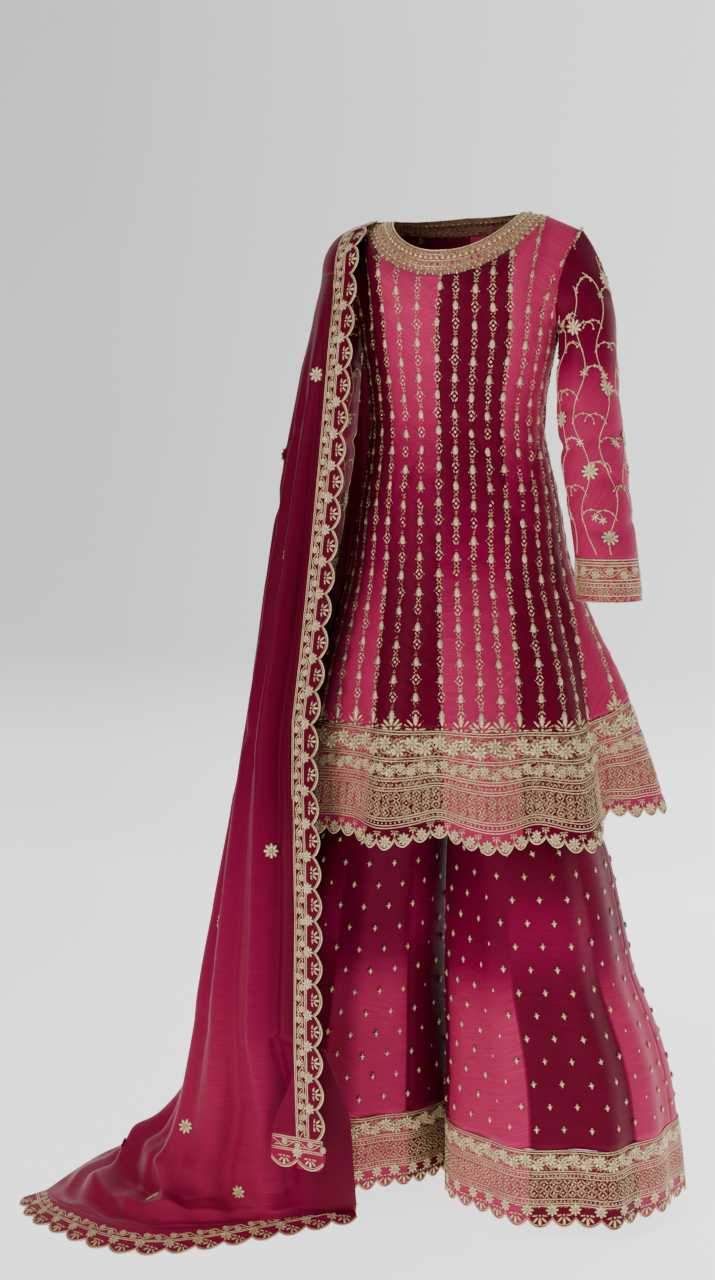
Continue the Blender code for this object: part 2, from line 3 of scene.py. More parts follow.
import bpy
import numpy as np
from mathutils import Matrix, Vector


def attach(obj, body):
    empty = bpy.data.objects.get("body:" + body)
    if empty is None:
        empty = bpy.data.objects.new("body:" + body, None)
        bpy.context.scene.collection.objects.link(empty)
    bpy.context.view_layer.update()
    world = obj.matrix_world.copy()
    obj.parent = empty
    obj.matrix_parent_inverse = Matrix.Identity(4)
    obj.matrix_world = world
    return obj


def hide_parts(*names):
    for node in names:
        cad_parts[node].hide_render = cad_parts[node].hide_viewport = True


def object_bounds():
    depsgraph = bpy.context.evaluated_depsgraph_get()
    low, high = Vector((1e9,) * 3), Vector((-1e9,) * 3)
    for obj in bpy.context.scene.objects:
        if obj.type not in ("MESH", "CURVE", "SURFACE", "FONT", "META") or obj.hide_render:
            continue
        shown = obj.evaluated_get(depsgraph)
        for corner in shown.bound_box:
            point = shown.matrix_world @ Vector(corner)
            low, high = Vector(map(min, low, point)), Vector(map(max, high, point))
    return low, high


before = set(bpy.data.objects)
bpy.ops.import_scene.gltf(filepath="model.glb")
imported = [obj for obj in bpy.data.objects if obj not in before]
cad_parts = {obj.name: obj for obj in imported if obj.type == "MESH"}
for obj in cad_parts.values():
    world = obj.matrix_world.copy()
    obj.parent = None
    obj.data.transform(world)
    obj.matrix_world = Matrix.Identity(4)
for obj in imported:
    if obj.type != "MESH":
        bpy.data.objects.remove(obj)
cadBox = [list(corner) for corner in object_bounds()]
neckHeight = 1.511


# Reading tables and curves

def mix(a, b, share):
    return a + (b - a) * share


def ease(value):
    value = min(max(value, 0.0), 1.0)
    return value * value * (3.0 - 2.0 * value)


def steps(first, last, count):
    return [mix(first, last, i / count) for i in range(count + 1)]


def place(x, y, height):
    return Vector((x, y, height - neckHeight))


def smoothBetween(before, start, end, after, share):
    square = share * share
    cube = square * share
    return 0.5 * (2.0 * start + (end - before) * share + (2.0 * before - 5.0 * start + 4.0 * end - after) * square
                  + (3.0 * start - before - 3.0 * end + after) * cube)


def fromTable(table, key):
    # a row of a table, read smoothly; the first column is the key
    rising = table[-1][0] > table[0][0]
    last = len(table) - 2
    index = 0
    while index < last and (table[index + 1][0] < key) == rising:
        index += 1
    start, end = table[index], table[index + 1]
    before = table[max(index - 1, 0)]
    after = table[min(index + 2, len(table) - 1)]
    share = min(max((key - start[0]) / (end[0] - start[0]), 0.0), 1.0)
    return [smoothBetween(before[i], start[i], end[i], after[i], share) for i in range(1, len(start))]


def bezier(a, b, c, d, share):
    rest = 1.0 - share
    return a * rest ** 3 + b * (3.0 * share * rest ** 2) + c * (3.0 * share ** 2 * rest) + d * share ** 3


def fluteOut(flutes, angle):
    out = 0.0
    for middle, spread, depth in flutes:
        away = abs((angle - middle + 180.0) % 360.0 - 180.0)
        if away < spread:
            out += depth * math.cos(0.5 * math.pi * away / spread) ** 2
    return out


def scallop(position, depth):
    # zero at the tip of each lobe, depth at a junction
    return depth * (1.0 - abs(math.sin(math.pi * position)) ** 0.8)


def smoothLine(points, share):
    spans = len(points) - 1
    index = min(int(share * spans), spans - 1)
    before = points[max(index - 1, 0)]
    after = points[min(index + 2, spans)]
    return smoothBetween(before, points[index], points[index + 1], after, share * spans - index)


def lineLength(line):
    return sum((end - start).length for start, end in zip(line, line[1:]))


def along(line, distance):
    for start, end in zip(line, line[1:]):
        length = (end - start).length
        if distance <= length:
            return mix(start, end, distance / length)
        distance -= length
    return line[-1] + (line[-1] - line[-2]).normalized() * distance


# Kurta cut, the same as the frame's

kurta = {
    "bust": 1.335, "hemFront": 0.606, "hemSide": 0.640, "hemDip": 0.45, "borderDepth": 0.160, "foldTop": 1.02, "turnTop": 1.28,
    "scallops": 66, "scallopDepth": 0.012, "neckTilt": 0.009,
    # height, right, left, front, back
    "sections": [
        (1.335, 0.150, 0.147, 0.118, 0.098), (1.236, 0.134, 0.132, 0.112, 0.088), (1.176, 0.135, 0.132, 0.107, 0.086),
        (1.086, 0.154, 0.146, 0.118, 0.102), (0.995, 0.172, 0.160, 0.134, 0.122), (0.934, 0.196, 0.178, 0.148, 0.140),
        (0.829, 0.244, 0.212, 0.180, 0.172), (0.720, 0.282, 0.242, 0.208, 0.202), (0.590, 0.312, 0.266, 0.228, 0.232)],
    # seams between the panels in degrees at the bust and at the hem
    "seams": [(-180, -180), (-130, -112), (-85, -50), (-37, -17), (-1.5, 6.5), (41, 28), (88, 54), (132, 112),
              (180, 180)],
    "flutes": [
        (-148, 17, 0.020), (-114, 17, 0.022), (-80, 16, 0.014), (-45, 16, 0.014), (-11, 14, 0.022), (5, 7, -0.012),
        (20, 13, 0.024), (44, 12, 0.026), (62, 10, -0.028), (84, 16, 0.024), (116, 15, 0.020), (148, 16, 0.022),
        (180, 15, 0.020)],
    "neckCorner": 4.0 / 3.0, "shoulderTip": 1.5, "neckSide": (0.1365, 0.0, 1.5035),
    "neckAngles": [(0.0, 0.0), (0.5, 23.0), (1.0, 48.0), (4.0 / 3.0, 90.0)],
    "frontTop": [
        (1.50, 0.185, -0.0012, 1.482), (1.64, 0.172, -0.042, 1.445), (1.80, 0.159, -0.056, 1.392),
        (1.92, 0.1535, -0.034, 1.357), (2.00, 0.152, 0.000, 1.348)],
    "backTop": [
        (1.50, 0.185, 0.0012, 1.482), (1.64, 0.174, 0.040, 1.445), (1.80, 0.162, 0.050, 1.392),
        (1.92, 0.1545, 0.032, 1.357), (2.00, 0.152, 0.000, 1.348)],
    "leftDrop": 0.016, "leftShare": 0.80,
    "columns": 20, "upperRows": 30, "lowerRows": 92,
    "lines": (4, 4, 4, 3, 4, 4, 4, 4), "puff": 0.0022, "pucker": 0.0011,
}


def kurtaAngle(panel, height):
    turn = ease((kurta["turnTop"] - height) / (kurta["turnTop"] - kurta["hemFront"]))
    seams = kurta["seams"]
    index = min(int(panel), len(seams) - 2)
    share = panel - index
    return mix(mix(seams[index][0], seams[index + 1][0], share), mix(seams[index][1], seams[index + 1][1], share), turn)


def kurtaHem(panel):
    return mix(kurta["hemFront"], kurta["hemSide"], ease((abs(kurtaAngle(panel, kurta["hemFront"])) - 46.0) / 40.0))


def kurtaBody(panel, height):
    angle = kurtaAngle(panel, height)
    right, left, front, back = fromTable(kurta["sections"], height)
    side = math.sin(math.radians(angle))
    ahead = math.cos(math.radians(angle))
    grow = max(kurta["foldTop"] - height, 0.0) / (kurta["foldTop"] - kurta["hemFront"])
    out = fluteOut(kurta["flutes"], angle) * grow ** 1.4
    return place(side * ((right if side > 0.0 else left) + out), -ahead * ((front if ahead > 0.0 else back) + out), height)


def neckPoint(angle, share):
    side = math.sin(math.radians(angle))
    ahead = math.cos(math.radians(angle))
    half = mix(0.097, 0.135, share)
    if ahead > 0.0:
        y = -ahead * mix(0.092, 0.110, share)
        height = mix(1.511, 1.504, share) - mix(0.060, 0.090, share) * ahead ** 1.5
    else:
        y = -ahead * mix(0.056, 0.082, share)
        height = mix(1.511, 1.504, share) - mix(0.002, 0.020, share) * abs(ahead) ** 1.5
    return place(half * side, y, height + kurta["neckTilt"] * min(side, 0.0))


def leftSide(x, height):
    past = max(abs(x) - 0.135, 0.0)
    drop = kurta["neckTilt"] + kurta["leftDrop"] * ease((abs(x) - 0.135) / 0.05)
    return -(min(abs(x), 0.135) + past * kurta["leftShare"]), height - drop * ease((height - 1.36) / 0.1)


def kurtaTop(panel):
    front = 2.0 <= panel <= 6.0
    right = panel >= 4.0
    away = abs(panel - 4.0) if front else min(panel, 8.0 - panel)
    face = -1.0 if front else 1.0
    corner, tip = kurta["neckCorner"], kurta["shoulderTip"]
    if away <= corner:
        angle = fromTable(kurta["neckAngles"], away)[0]
        angle = angle if front else 180.0 - angle
        edge = neckPoint(angle if right else -angle, 1.0)
        flat = ease(away / corner)
    else:
        table = kurta["frontTop" if front else "backTop"]
        if away < tip:
            share = (away - corner) / (tip - corner)
            x, y, height = [mix(a, b, share) for a, b in zip(kurta["neckSide"], table[0][1:])]
        else:
            x, y, height = fromTable(table, away)
        if not right:
            x, height = leftSide(x, height)
        edge = place(x, y, height)
        flat = 1.0 - ease((away - tip + 0.05) / 0.4)
    leave = Vector((0.0, face * mix(0.008, 0.042, flat), -mix(0.030, 0.012, flat)))
    if away > tip:
        leave *= mix(1.0, 0.12, ease((away - tip) / 0.5))
    return edge, leave


def kurtaUpper(panel, share):
    low = kurtaBody(panel, kurta["bust"])
    edge, leave = kurtaTop(panel)
    rise = 0.35 * (edge.z - low.z)
    return bezier(low, low + Vector((0.0, 0.0, rise)), edge + leave, edge, share)


# Sleeves

sleeves = {
    "start": 1.33, "cuffTop": 1.009, "cuffBottom": 0.947, "columns": 48, "capRows": 20, "rows": 60,
    # height, center x, center y, half width, half depth
    "right": [
        (1.330, 0.196, -0.003, 0.042, 0.048), (1.265, 0.199, -0.013, 0.046, 0.050),
        (1.176, 0.209, -0.033, 0.048, 0.050), (1.090, 0.224, -0.052, 0.047, 0.049),
        (1.010, 0.239, -0.072, 0.046, 0.048), (0.940, 0.246, -0.081, 0.047, 0.048)],
    "left": [
        (1.330, -0.185, 0.002, 0.033, 0.045), (1.265, -0.190, 0.008, 0.035, 0.044),
        (1.176, -0.199, 0.010, 0.036, 0.044), (1.090, -0.211, 0.008, 0.036, 0.043),
        (1.010, -0.223, 0.002, 0.036, 0.042), (0.940, -0.233, -0.002, 0.036, 0.042)],
    # turn, height, half length, half width, depth, slant in degrees
    "creases": [
        (0.12, 1.395, 0.035, 0.008, -0.0035, 30), (0.30, 1.365, 0.040, 0.009, -0.0040, -35),
        (0.42, 1.300, 0.040, 0.009, -0.0040, -25), (0.05, 1.250, 0.045, 0.010, -0.0030, 20),
        (0.35, 1.225, 0.040, 0.008, -0.0035, 15), (0.20, 1.180, 0.050, 0.010, -0.0040, -12),
        (0.44, 1.165, 0.045, 0.009, -0.0045, 10), (0.12, 1.120, 0.050, 0.010, -0.0035, 18),
        (0.34, 1.105, 0.045, 0.009, -0.0040, -20), (0.25, 1.050, 0.045, 0.009, -0.0035, 12),
        (0.02, 1.060, 0.040, 0.009, -0.0030, -15), (0.62, 1.180, 0.050, 0.010, -0.0035, 12),
        (0.80, 1.230, 0.050, 0.010, -0.0030, -14), (0.70, 1.090, 0.050, 0.010, -0.0035, -10)],
}


def armhole(turn, right):
    front = turn <= 0.5
    x, y, height = fromTable(kurta["frontTop" if front else "backTop"], 1.5 + turn if front else 2.5 - turn)
    if right:
        return place(x + 0.0014, y, height)
    x, height = leftSide(x, height)
    return place(x - 0.0014, y, height)


def sleeveRound(table, turn, height):
    centerX, centerY, halfWidth, halfDepth = fromTable(table, height)
    angle = 2.0 * math.pi * turn
    side = 1.0 if centerX > 0.0 else -1.0
    return place(centerX + side * halfWidth * math.cos(angle), centerY - halfDepth * math.sin(angle), height)


def sleeveCap(table, turn, share):
    right = table[0][1] > 0.0
    edge = armhole(turn, right)
    low = sleeveRound(table, turn, sleeves["start"])
    drop = edge.z - low.z
    outward = 0.5 + 0.5 * math.cos(2.0 * math.pi * turn)
    reach = (0.018 if right else -0.008) * outward
    return bezier(edge, edge + Vector((reach, 0.0, -0.12 * drop)), low + Vector((0.0, 0.0, 0.45 * drop)), low, share)


# Sharara

sharara = {
    "waist": 1.00, "waistband": 0.030, "crotch": 0.74, "roundAt": 0.56, "borderTop": 0.140, "hem": 0.022,
    "scallops": 32, "scallopDepth": 0.012, "crotchGap": 0.0015, "columns": 160, "rows": 60,
    # height, half width, half depth
    "yoke": [(1.000, 0.128, 0.098), (0.930, 0.142, 0.112), (0.840, 0.156, 0.124), (0.740, 0.164, 0.130)],
    # height, center x, center y, half width, half depth
    "right": [
        (0.740, 0.083, 0.000, 0.081, 0.130), (0.560, 0.112, -0.004, 0.118, 0.128), (0.375, 0.130, 0.006, 0.138, 0.146),
        (0.245, 0.152, 0.020, 0.160, 0.156), (0.140, 0.160, 0.028, 0.169, 0.164), (0.020, 0.165, 0.032, 0.174, 0.168)],
    "left": [
        (0.740, -0.083, 0.000, 0.081, 0.130), (0.560, -0.124, 0.018, 0.106, 0.124),
        (0.375, -0.150, 0.048, 0.120, 0.134), (0.245, -0.165, 0.064, 0.134, 0.142),
        (0.140, -0.173, 0.072, 0.141, 0.147), (0.020, -0.179, 0.078, 0.146, 0.150)],
    "rightFlutes": [
        (-60, 28, 0.010), (-8, 22, 0.014), (34, 17, 0.020), (68, 16, 0.006), (104, 22, 0.018), (144, 18, 0.016),
        (178, 16, 0.014), (-144, 20, 0.014), (-102, 18, 0.006), (-84, 24, 0.003)],
    "leftFlutes": [
        (52, 20, 0.008), (84, 34, 0.015), (14, 18, 0.016), (-30, 20, 0.018), (-74, 22, 0.016), (-118, 22, 0.016), (-160, 20, 0.016),
        (150, 22, 0.014)],
    # seams between the panels in degrees; every second panel, from the one named, runs from wine to pink
    "rightSeams": [-63.0, -4.0, 52.0, 110.0, 168.0, 232.0, 297.0], "rightPink": 0,
    "leftSeams": [-62.0, -8.0, 47.0, 105.0, 165.0, 230.0, 298.0], "leftPink": 1,
}


def yokePoint(angle, height):
    halfWidth, halfDepth = fromTable(sharara["yoke"], height)
    turn = math.radians(angle)
    return place(halfWidth * math.sin(turn), -halfDepth * math.cos(turn), height)


def legPoint(side, angle, height):
    centerX, centerY, halfWidth, halfDepth = fromTable(sharara[side], height)
    turn = math.radians(angle)
    outward = 1.0 if side == "right" else -1.0
    sine = math.sin(turn)
    grow = max(sharara["crotch"] - height, 0.0) / (sharara["crotch"] - sharara["hem"])
    out = fluteOut(sharara[side + "Flutes"], angle) * grow
    roundX = centerX + sine * (halfWidth + out)
    roundY = centerY - math.cos(turn) * (halfDepth + out)
    topWidth, topDepth = sharara["yoke"][-1][1:]
    flatX = outward * (sharara["crotchGap"] + max(sine * outward, 0.0) * (topWidth - sharara["crotchGap"]))
    flatY = -math.cos(turn) * topDepth
    share = ease((sharara["crotch"] - height) / (sharara["crotch"] - sharara["roundAt"]))
    return place(mix(flatX, roundX, share), mix(flatY, roundY, share), height)


# Dupatta

dupatta = {
    "band": 0.048, "scallopDepth": 0.012, "top": 1.42, "peak": 0.085, "bottom": 0.112, "spans": 14, "flapSpans": 2,
    "backEnd": 0.66, "flapWidth": 0.078, "flapSpread": 0.014, "trainBehind": 0.007, "trainPitch": 0.045,
    # height, then x and y of the edge, front, side and rear rails
    "front": [
        (1.420, -0.128, -0.098, -0.185, -0.062, -0.206, 0.006, -0.158, 0.106),
        (1.373, -0.126, -0.118, -0.191, -0.078, -0.216, 0.004, -0.168, 0.112),
        (1.282, -0.128, -0.132, -0.206, -0.088, -0.234, 0.002, -0.184, 0.116),
        (1.129, -0.137, -0.138, -0.228, -0.096, -0.259, 0.002, -0.196, 0.126),
        (0.995, -0.146, -0.150, -0.244, -0.108, -0.276, 0.002, -0.212, 0.142),
        (0.865, -0.152, -0.178, -0.258, -0.130, -0.291, 0.002, -0.232, 0.160),
        (0.739, -0.156, -0.214, -0.272, -0.156, -0.307, 0.002, -0.254, 0.174),
        (0.636, -0.144, -0.243, -0.284, -0.176, -0.322, 0.000, -0.272, 0.176),
        (0.457, -0.138, -0.249, -0.312, -0.182, -0.354, -0.004, -0.306, 0.158),
        (0.330, -0.139, -0.250, -0.336, -0.186, -0.375, -0.012, -0.340, 0.134),
        (0.100, -0.133, -0.250, -0.350, -0.190, -0.415, -0.020, -0.390, 0.120)],
    # height, then x and y of the inner, middle and outer rails
    "back": [
        (1.420, -0.112, 0.125, -0.176, 0.118, -0.203, 0.072), (1.300, -0.108, 0.134, -0.186, 0.134, -0.222, 0.092),
        (1.120, -0.100, 0.140, -0.196, 0.150, -0.244, 0.112), (0.960, -0.090, 0.160, -0.206, 0.172, -0.264, 0.132),
        (0.800, -0.078, 0.200, -0.216, 0.208, -0.284, 0.168), (0.660, -0.066, 0.244, -0.222, 0.240, -0.298, 0.200)],
    # points of the inner, front, side and rear rails on the way down to the floor
    "train": [
        ((-0.117, -0.190, 0.190), (-0.355, -0.196, 0.170), (-0.415, -0.026, 0.160), (-0.405, 0.142, 0.120)),
        ((-0.114, -0.168, 0.090), (-0.366, -0.220, 0.080), (-0.478, -0.060, 0.070), (-0.530, 0.132, 0.022)),
        ((-0.116, -0.146, 0.030), (-0.366, -0.262, 0.040), (-0.530, -0.150, 0.030), (-0.594, -0.010, 0.010)),
        ((-0.121, -0.132, 0.012), (-0.372, -0.300, 0.024), (-0.545, -0.245, 0.020), (-0.612, -0.172, 0.010))],
    "trainEnd": ((-0.112, -0.150, 0.0), (-0.372, -0.352, 0.0), (-0.572, -0.292, 0.0), (-0.648, -0.200, 0.0)),
    # lengthwise folds: share across, spread, height and drift across with each metre down
    "folds": [
        (0.135, 0.018, -0.014, 0.02), (0.190, 0.022, 0.010, 0.03), (0.250, 0.018, -0.007, 0.04),
        (0.310, 0.026, 0.010, 0.03), (0.370, 0.018, -0.008, 0.03), (0.430, 0.026, 0.011, 0.02),
        (0.500, 0.020, -0.009, 0.02), (0.570, 0.028, 0.010, 0.02), (0.650, 0.020, -0.008, 0.01),
        (0.730, 0.030, 0.010, 0.00), (0.820, 0.024, -0.008, 0.00), (0.900, 0.026, 0.008, 0.00)],
    "trainFolds": [
        (0.20, 0.030, 0.008, 0.02), (0.28, 0.030, -0.010, 0.05), (0.38, 0.040, 0.010, 0.10), (0.52, 0.035, -0.010, 0.14),
        (0.66, 0.040, 0.010, 0.12), (0.80, 0.035, -0.009, 0.06)],
    # share across, place down, half length, half width, depth and slant of soft cross creases
    "creases": [
        (0.30, 0.20, 0.10, 0.012, -0.004, 25), (0.45, 0.30, 0.12, 0.014, -0.005, -20), (0.25, 0.42, 0.08, 0.012, -0.004, 30),
        (0.60, 0.45, 0.12, 0.014, -0.004, 18), (0.35, 0.60, 0.10, 0.014, -0.005, -24), (0.55, 0.72, 0.10, 0.014, -0.004, 20),
        (0.62, 1.52, 0.26, 0.060, 0.014, 8), (0.60, 1.66, 0.30, 0.040, -0.012, 6), (0.58, 1.79, 0.34, 0.045, 0.012, 3),
        (0.60, 1.90, 0.34, 0.030, -0.008, 0)],
    # share across and place down of the strewn flowers: 0 to 1 in the fall, 1 to 2 in the train
    "flowers": [
        (0.16, 0.14), (0.26, 0.38), (0.17, 0.76), (0.44, 0.24), (0.48, 0.60), (0.36, 0.86), (0.68, 0.40), (0.72, 0.76),
        (0.88, 0.20), (0.90, 0.56), (0.92, 0.88), (0.28, 1.62), (0.50, 1.70), (0.74, 1.62), (0.42, 1.32)],
}


def railsAt(table, height):
    row = fromTable(table, height)
    return [place(row[i], row[i + 1], height) for i in range(0, len(row), 2)]


def drapeLine(height):
    rails = railsAt(dupatta["front"], height)
    return [smoothLine(rails, share) for share in steps(0.0, 1.0, 36)]


def backLine(height):
    inner, middle, outer = railsAt(dupatta["back"], height)
    side = railsAt(dupatta["front"], dupatta["top"])[2]
    beyond = outer + side - railsAt(dupatta["back"], dupatta["top"])[2]
    return [smoothLine([inner, middle, outer, beyond], share) for share in steps(0.0, 2.0 / 3.0, 18)]


def shoulderLine(turn):
    front = railsAt(dupatta["front"], dupatta["top"])
    side = front[2]
    behind = railsAt(dupatta["back"], dupatta["top"]) + [side]
    across = 0.5 - 0.5 * math.cos(math.pi * turn)
    line = []
    for share in steps(0.0, 0.985, 18):
        point = mix(smoothLine(front, share * 2.0 / 3.0), smoothLine(behind, share), across)
        point.z += dupatta["peak"] * (1.0 - share ** 1.5) ** 0.8 * math.sin(math.pi * turn)
        line.append(point)
    return line


flapTop = dupatta["bottom"] + (dupatta["top"] - dupatta["bottom"]) * dupatta["flapSpans"] / dupatta["spans"]
footLine = drapeLine(flapTop)
footLength = lineLength(footLine)


def trainPoint(share, across):
    # the train starts at the foot of the front fall; behind the flap it stands back from it
    distance = footLength * across
    start = along(footLine, distance)
    behind = dupatta["trainBehind"] * (1.0 - ease((distance - dupatta["flapWidth"]) / 0.02))
    start += Vector((0.2 * behind, behind, 0.0))
    lower = [smoothLine([place(*point) for point in row], across) for row in dupatta["train"]]
    return smoothLine([start] + lower, share)


def trainLine(share):
    return [trainPoint(share, across) for across in steps(0.0, 1.0, 40)]


# Shader helper: an expression on values adds its Math nodes

class Value:
    def __init__(self, tree, socket):
        self.tree = tree
        self.socket = socket

    def math(self, operation, *others):
        return self.tree.add("ShaderNodeMath", {"operation": operation}, [self, *others])

    def __add__(self, other):
        return self.math("ADD", other)

    def __mul__(self, other):
        return self.math("MULTIPLY", other)

    def __sub__(self, other):
        return self.math("SUBTRACT", other)

    def __rsub__(self, other):
        return self.tree.add("ShaderNodeMath", {"operation": "SUBTRACT"}, [other, self])

    __radd__ = __add__
    __rmul__ = __mul__


class Shader:
    def __init__(self, name, roughness, metallic=0.0, sheen=0.0, specular=0.5, tint=(1.0, 1.0, 1.0)):
        self.material = bpy.data.materials.new(name)
        self.material.use_nodes = True
        self.nodes = self.material.node_tree.nodes
        self.links = self.material.node_tree.links
        self.surface = self.nodes["Principled BSDF"]
        self.surface.inputs["Roughness"].default_value = roughness
        self.surface.inputs["Metallic"].default_value = metallic
        self.surface.inputs["Sheen Weight"].default_value = sheen
        self.surface.inputs["Sheen Roughness"].default_value = 0.35
        self.surface.inputs["Sheen Tint"].default_value = (0.9, 0.12, 0.35, 1.0)
        self.surface.inputs["Specular Tint"].default_value = (*tint, 1.0)
        self.surface.inputs["Specular IOR Level"].default_value = specular

    def add(self, kind, settings, values, output=0):
        # values go to the sockets in order, or by name from a dictionary
        node = self.nodes.new(kind)
        for key, setting in settings.items():
            if key == "stops":
                stops = node.color_ramp.elements
                while len(stops) < len(setting):
                    stops.new(0.5)
                for stop, (position, color) in zip(stops, setting):
                    stop.position = position
                    stop.color = (*color, 1.0)
            else:
                setattr(node, key, setting)
        pairs = values.items() if isinstance(values, dict) else enumerate(values)
        for key, value in pairs:
            self.put(node.inputs[key], value)
        return Value(self, node.outputs[output])

    def put(self, socket, value):
        if isinstance(value, Value):
            self.links.new(value.socket, socket)
        elif value is not None:
            socket.default_value = value

    def mixColor(self, share, first, second, blend="MIX"):
        node = self.nodes.new("ShaderNodeMix")
        node.data_type = "RGBA"
        node.blend_type = blend
        self.put(node.inputs["Factor"], share)
        for key, color in ((6, first), (7, second)):
            self.put(node.inputs[key], color if isinstance(color, Value) else (*color, 1.0))
        return Value(self, node.outputs[2])

    def feed(self, name, value):
        self.links.new(value.socket, self.surface.inputs[name])

    def bump(self, height, strength, distance):
        self.feed("Normal", self.add("ShaderNodeBump", {}, {"Strength": strength, "Distance": distance,
                                                            "Height": height}))


colors = {
    "wine": (0.088, 0.0004, 0.011), "magenta": (0.190, 0.0010, 0.034), "pink": (0.440, 0.022, 0.090),
    "rose": (0.270, 0.008, 0.046), "gold": (0.900, 0.700, 0.400), "darkGoldAndShade": (0.230, 0.145, 0.060),
    "floor": (0.800, 0.810, 0.810), "sheenLight": (1.0, 0.30, 0.50),
}


def silk(name, ramp, slub, roughness, sheen, stitch=0.0, worked=1.0):
    # dyed silk: the dye attribute runs along the ramp and slubs lie across the cloth;
    # stitch covers it with gold knots, down to the distance worked
    shader = Shader(name, roughness, sheen=sheen, specular=0.13, tint=colors["sheenLight"])
    dye = shader.add("ShaderNodeAttribute", {"attribute_name": "dye"}, {}, output=2)
    uv = shader.add("ShaderNodeUVMap", {"uv_map": "cloth"}, {})
    wide = shader.add("ShaderNodeMapping", {}, {"Vector": uv, "Scale": (28.0, 520.0, 1.0)})
    thread = shader.add("ShaderNodeTexNoise", {}, {"Vector": wide, "Scale": 1.0, "Detail": 3.0})
    cloudy = shader.add("ShaderNodeTexNoise", {}, {"Vector": uv, "Scale": 9.0, "Detail": 3.0})
    fine = shader.add("ShaderNodeMapping", {}, {"Vector": uv, "Scale": (1500.0, 1500.0, 1.0)})
    weave = shader.add("ShaderNodeTexNoise", {}, {"Vector": fine, "Scale": 1.0, "Detail": 1.0})
    shifted = dye + (cloudy - 0.5) * 0.12 + (thread - 0.5) * slub
    color = shader.add("ShaderNodeValToRGB", {"stops": ramp}, [shifted])
    shade = (thread - 0.5) * 0.85 + 1.0
    lit = shader.mixColor(0.85, color, shader.add("ShaderNodeCombineColor", {}, [shade, shade, shade]), "MULTIPLY")
    height = thread * 0.7 + weave * 0.3
    if stitch:
        knots = shader.add("ShaderNodeTexVoronoi", {}, {"Vector": uv, "Scale": 330.0, "Randomness": 0.8})
        cover = shader.add("ShaderNodeMapRange", {"interpolation_type": "SMOOTHSTEP"},
                           {"Value": knots, "From Min": stitch, "From Max": stitch - 0.22})
        downward = shader.add("ShaderNodeSeparateXYZ", {}, [uv], output=1)
        cover = cover * shader.add("ShaderNodeMath", {"operation": "GREATER_THAN"}, [downward, -worked])
        glint = shader.mixColor(weave * 0.42, colors["darkGoldAndShade"], colors["gold"])
        lit = shader.mixColor(cover * 0.92, lit, glint)
        height = height * 0.3 + cover
    shader.feed("Base Color", lit)
    shader.feed("Roughness", (weave - 0.5) * 0.2 + roughness)
    shader.bump(height, 0.35, 0.0006)
    return shader.material


def goldThread(name, roughness, metallic):
    shader = Shader(name, roughness, metallic=metallic, specular=0.6)
    place = shader.add("ShaderNodeTexCoord", {}, {}, output=3)
    grain = shader.add("ShaderNodeTexNoise", {}, {"Vector": place, "Scale": 420.0, "Detail": 2.0})
    patch = shader.add("ShaderNodeTexNoise", {}, {"Vector": place, "Scale": 45.0, "Detail": 1.0})
    rise = shader.add("ShaderNodeAttribute", {"attribute_name": "rise"}, {}, output=2)
    # random grain and patches of tone, with painted shade: each stitch darkens towards its foot and lightens on top by
    # its rise
    toneAndShade = grain * 0.55 + patch * 0.25 + rise * 0.42 - 0.12
    stops = [(0.28, colors["darkGoldAndShade"]), (0.66, colors["gold"])]
    shader.feed("Base Color", shader.add("ShaderNodeValToRGB", {"stops": stops}, [toneAndShade]))
    shader.feed("Roughness", (grain - 0.5) * 0.3 + roughness)
    shader.bump(grain, 0.5, 0.0006)
    return shader.material


dyeRamp = [(0.0, colors["wine"]), (0.45, colors["magenta"]), (1.0, colors["pink"])]
softRamp = [(0.0, colors["wine"]), (0.5, colors["magenta"]), (1.0, colors["rose"])]
kurtaSilk = silk("kurtaSilk", dyeRamp, 0.12, 0.52, 0.03)
sleeveSilk = silk("sleeveSilk", dyeRamp, 0.08, 0.44, 0.03)
shararaSilk = silk("shararaSilk", dyeRamp, 0.10, 0.52, 0.03)
dupattaSilk = silk("dupattaSilk", softRamp, 0.04, 0.46, 0.03)
kurtaBorderSilk = silk("kurtaBorderSilk", dyeRamp, 0.10, 0.44, 0.04, 0.58, 0.133)
shararaBorderSilk = silk("shararaBorderSilk", dyeRamp, 0.10, 0.44, 0.04, 0.54, 0.088)
neckSilk = silk("neckSilk", dyeRamp, 0.10, 0.44, 0.04, 0.76)
gold = goldThread("goldThread", 0.42, 0.35)
sequin = goldThread("sequin", 0.28, 0.65)
print("materials ready")


# Cloth sheets from rows of points

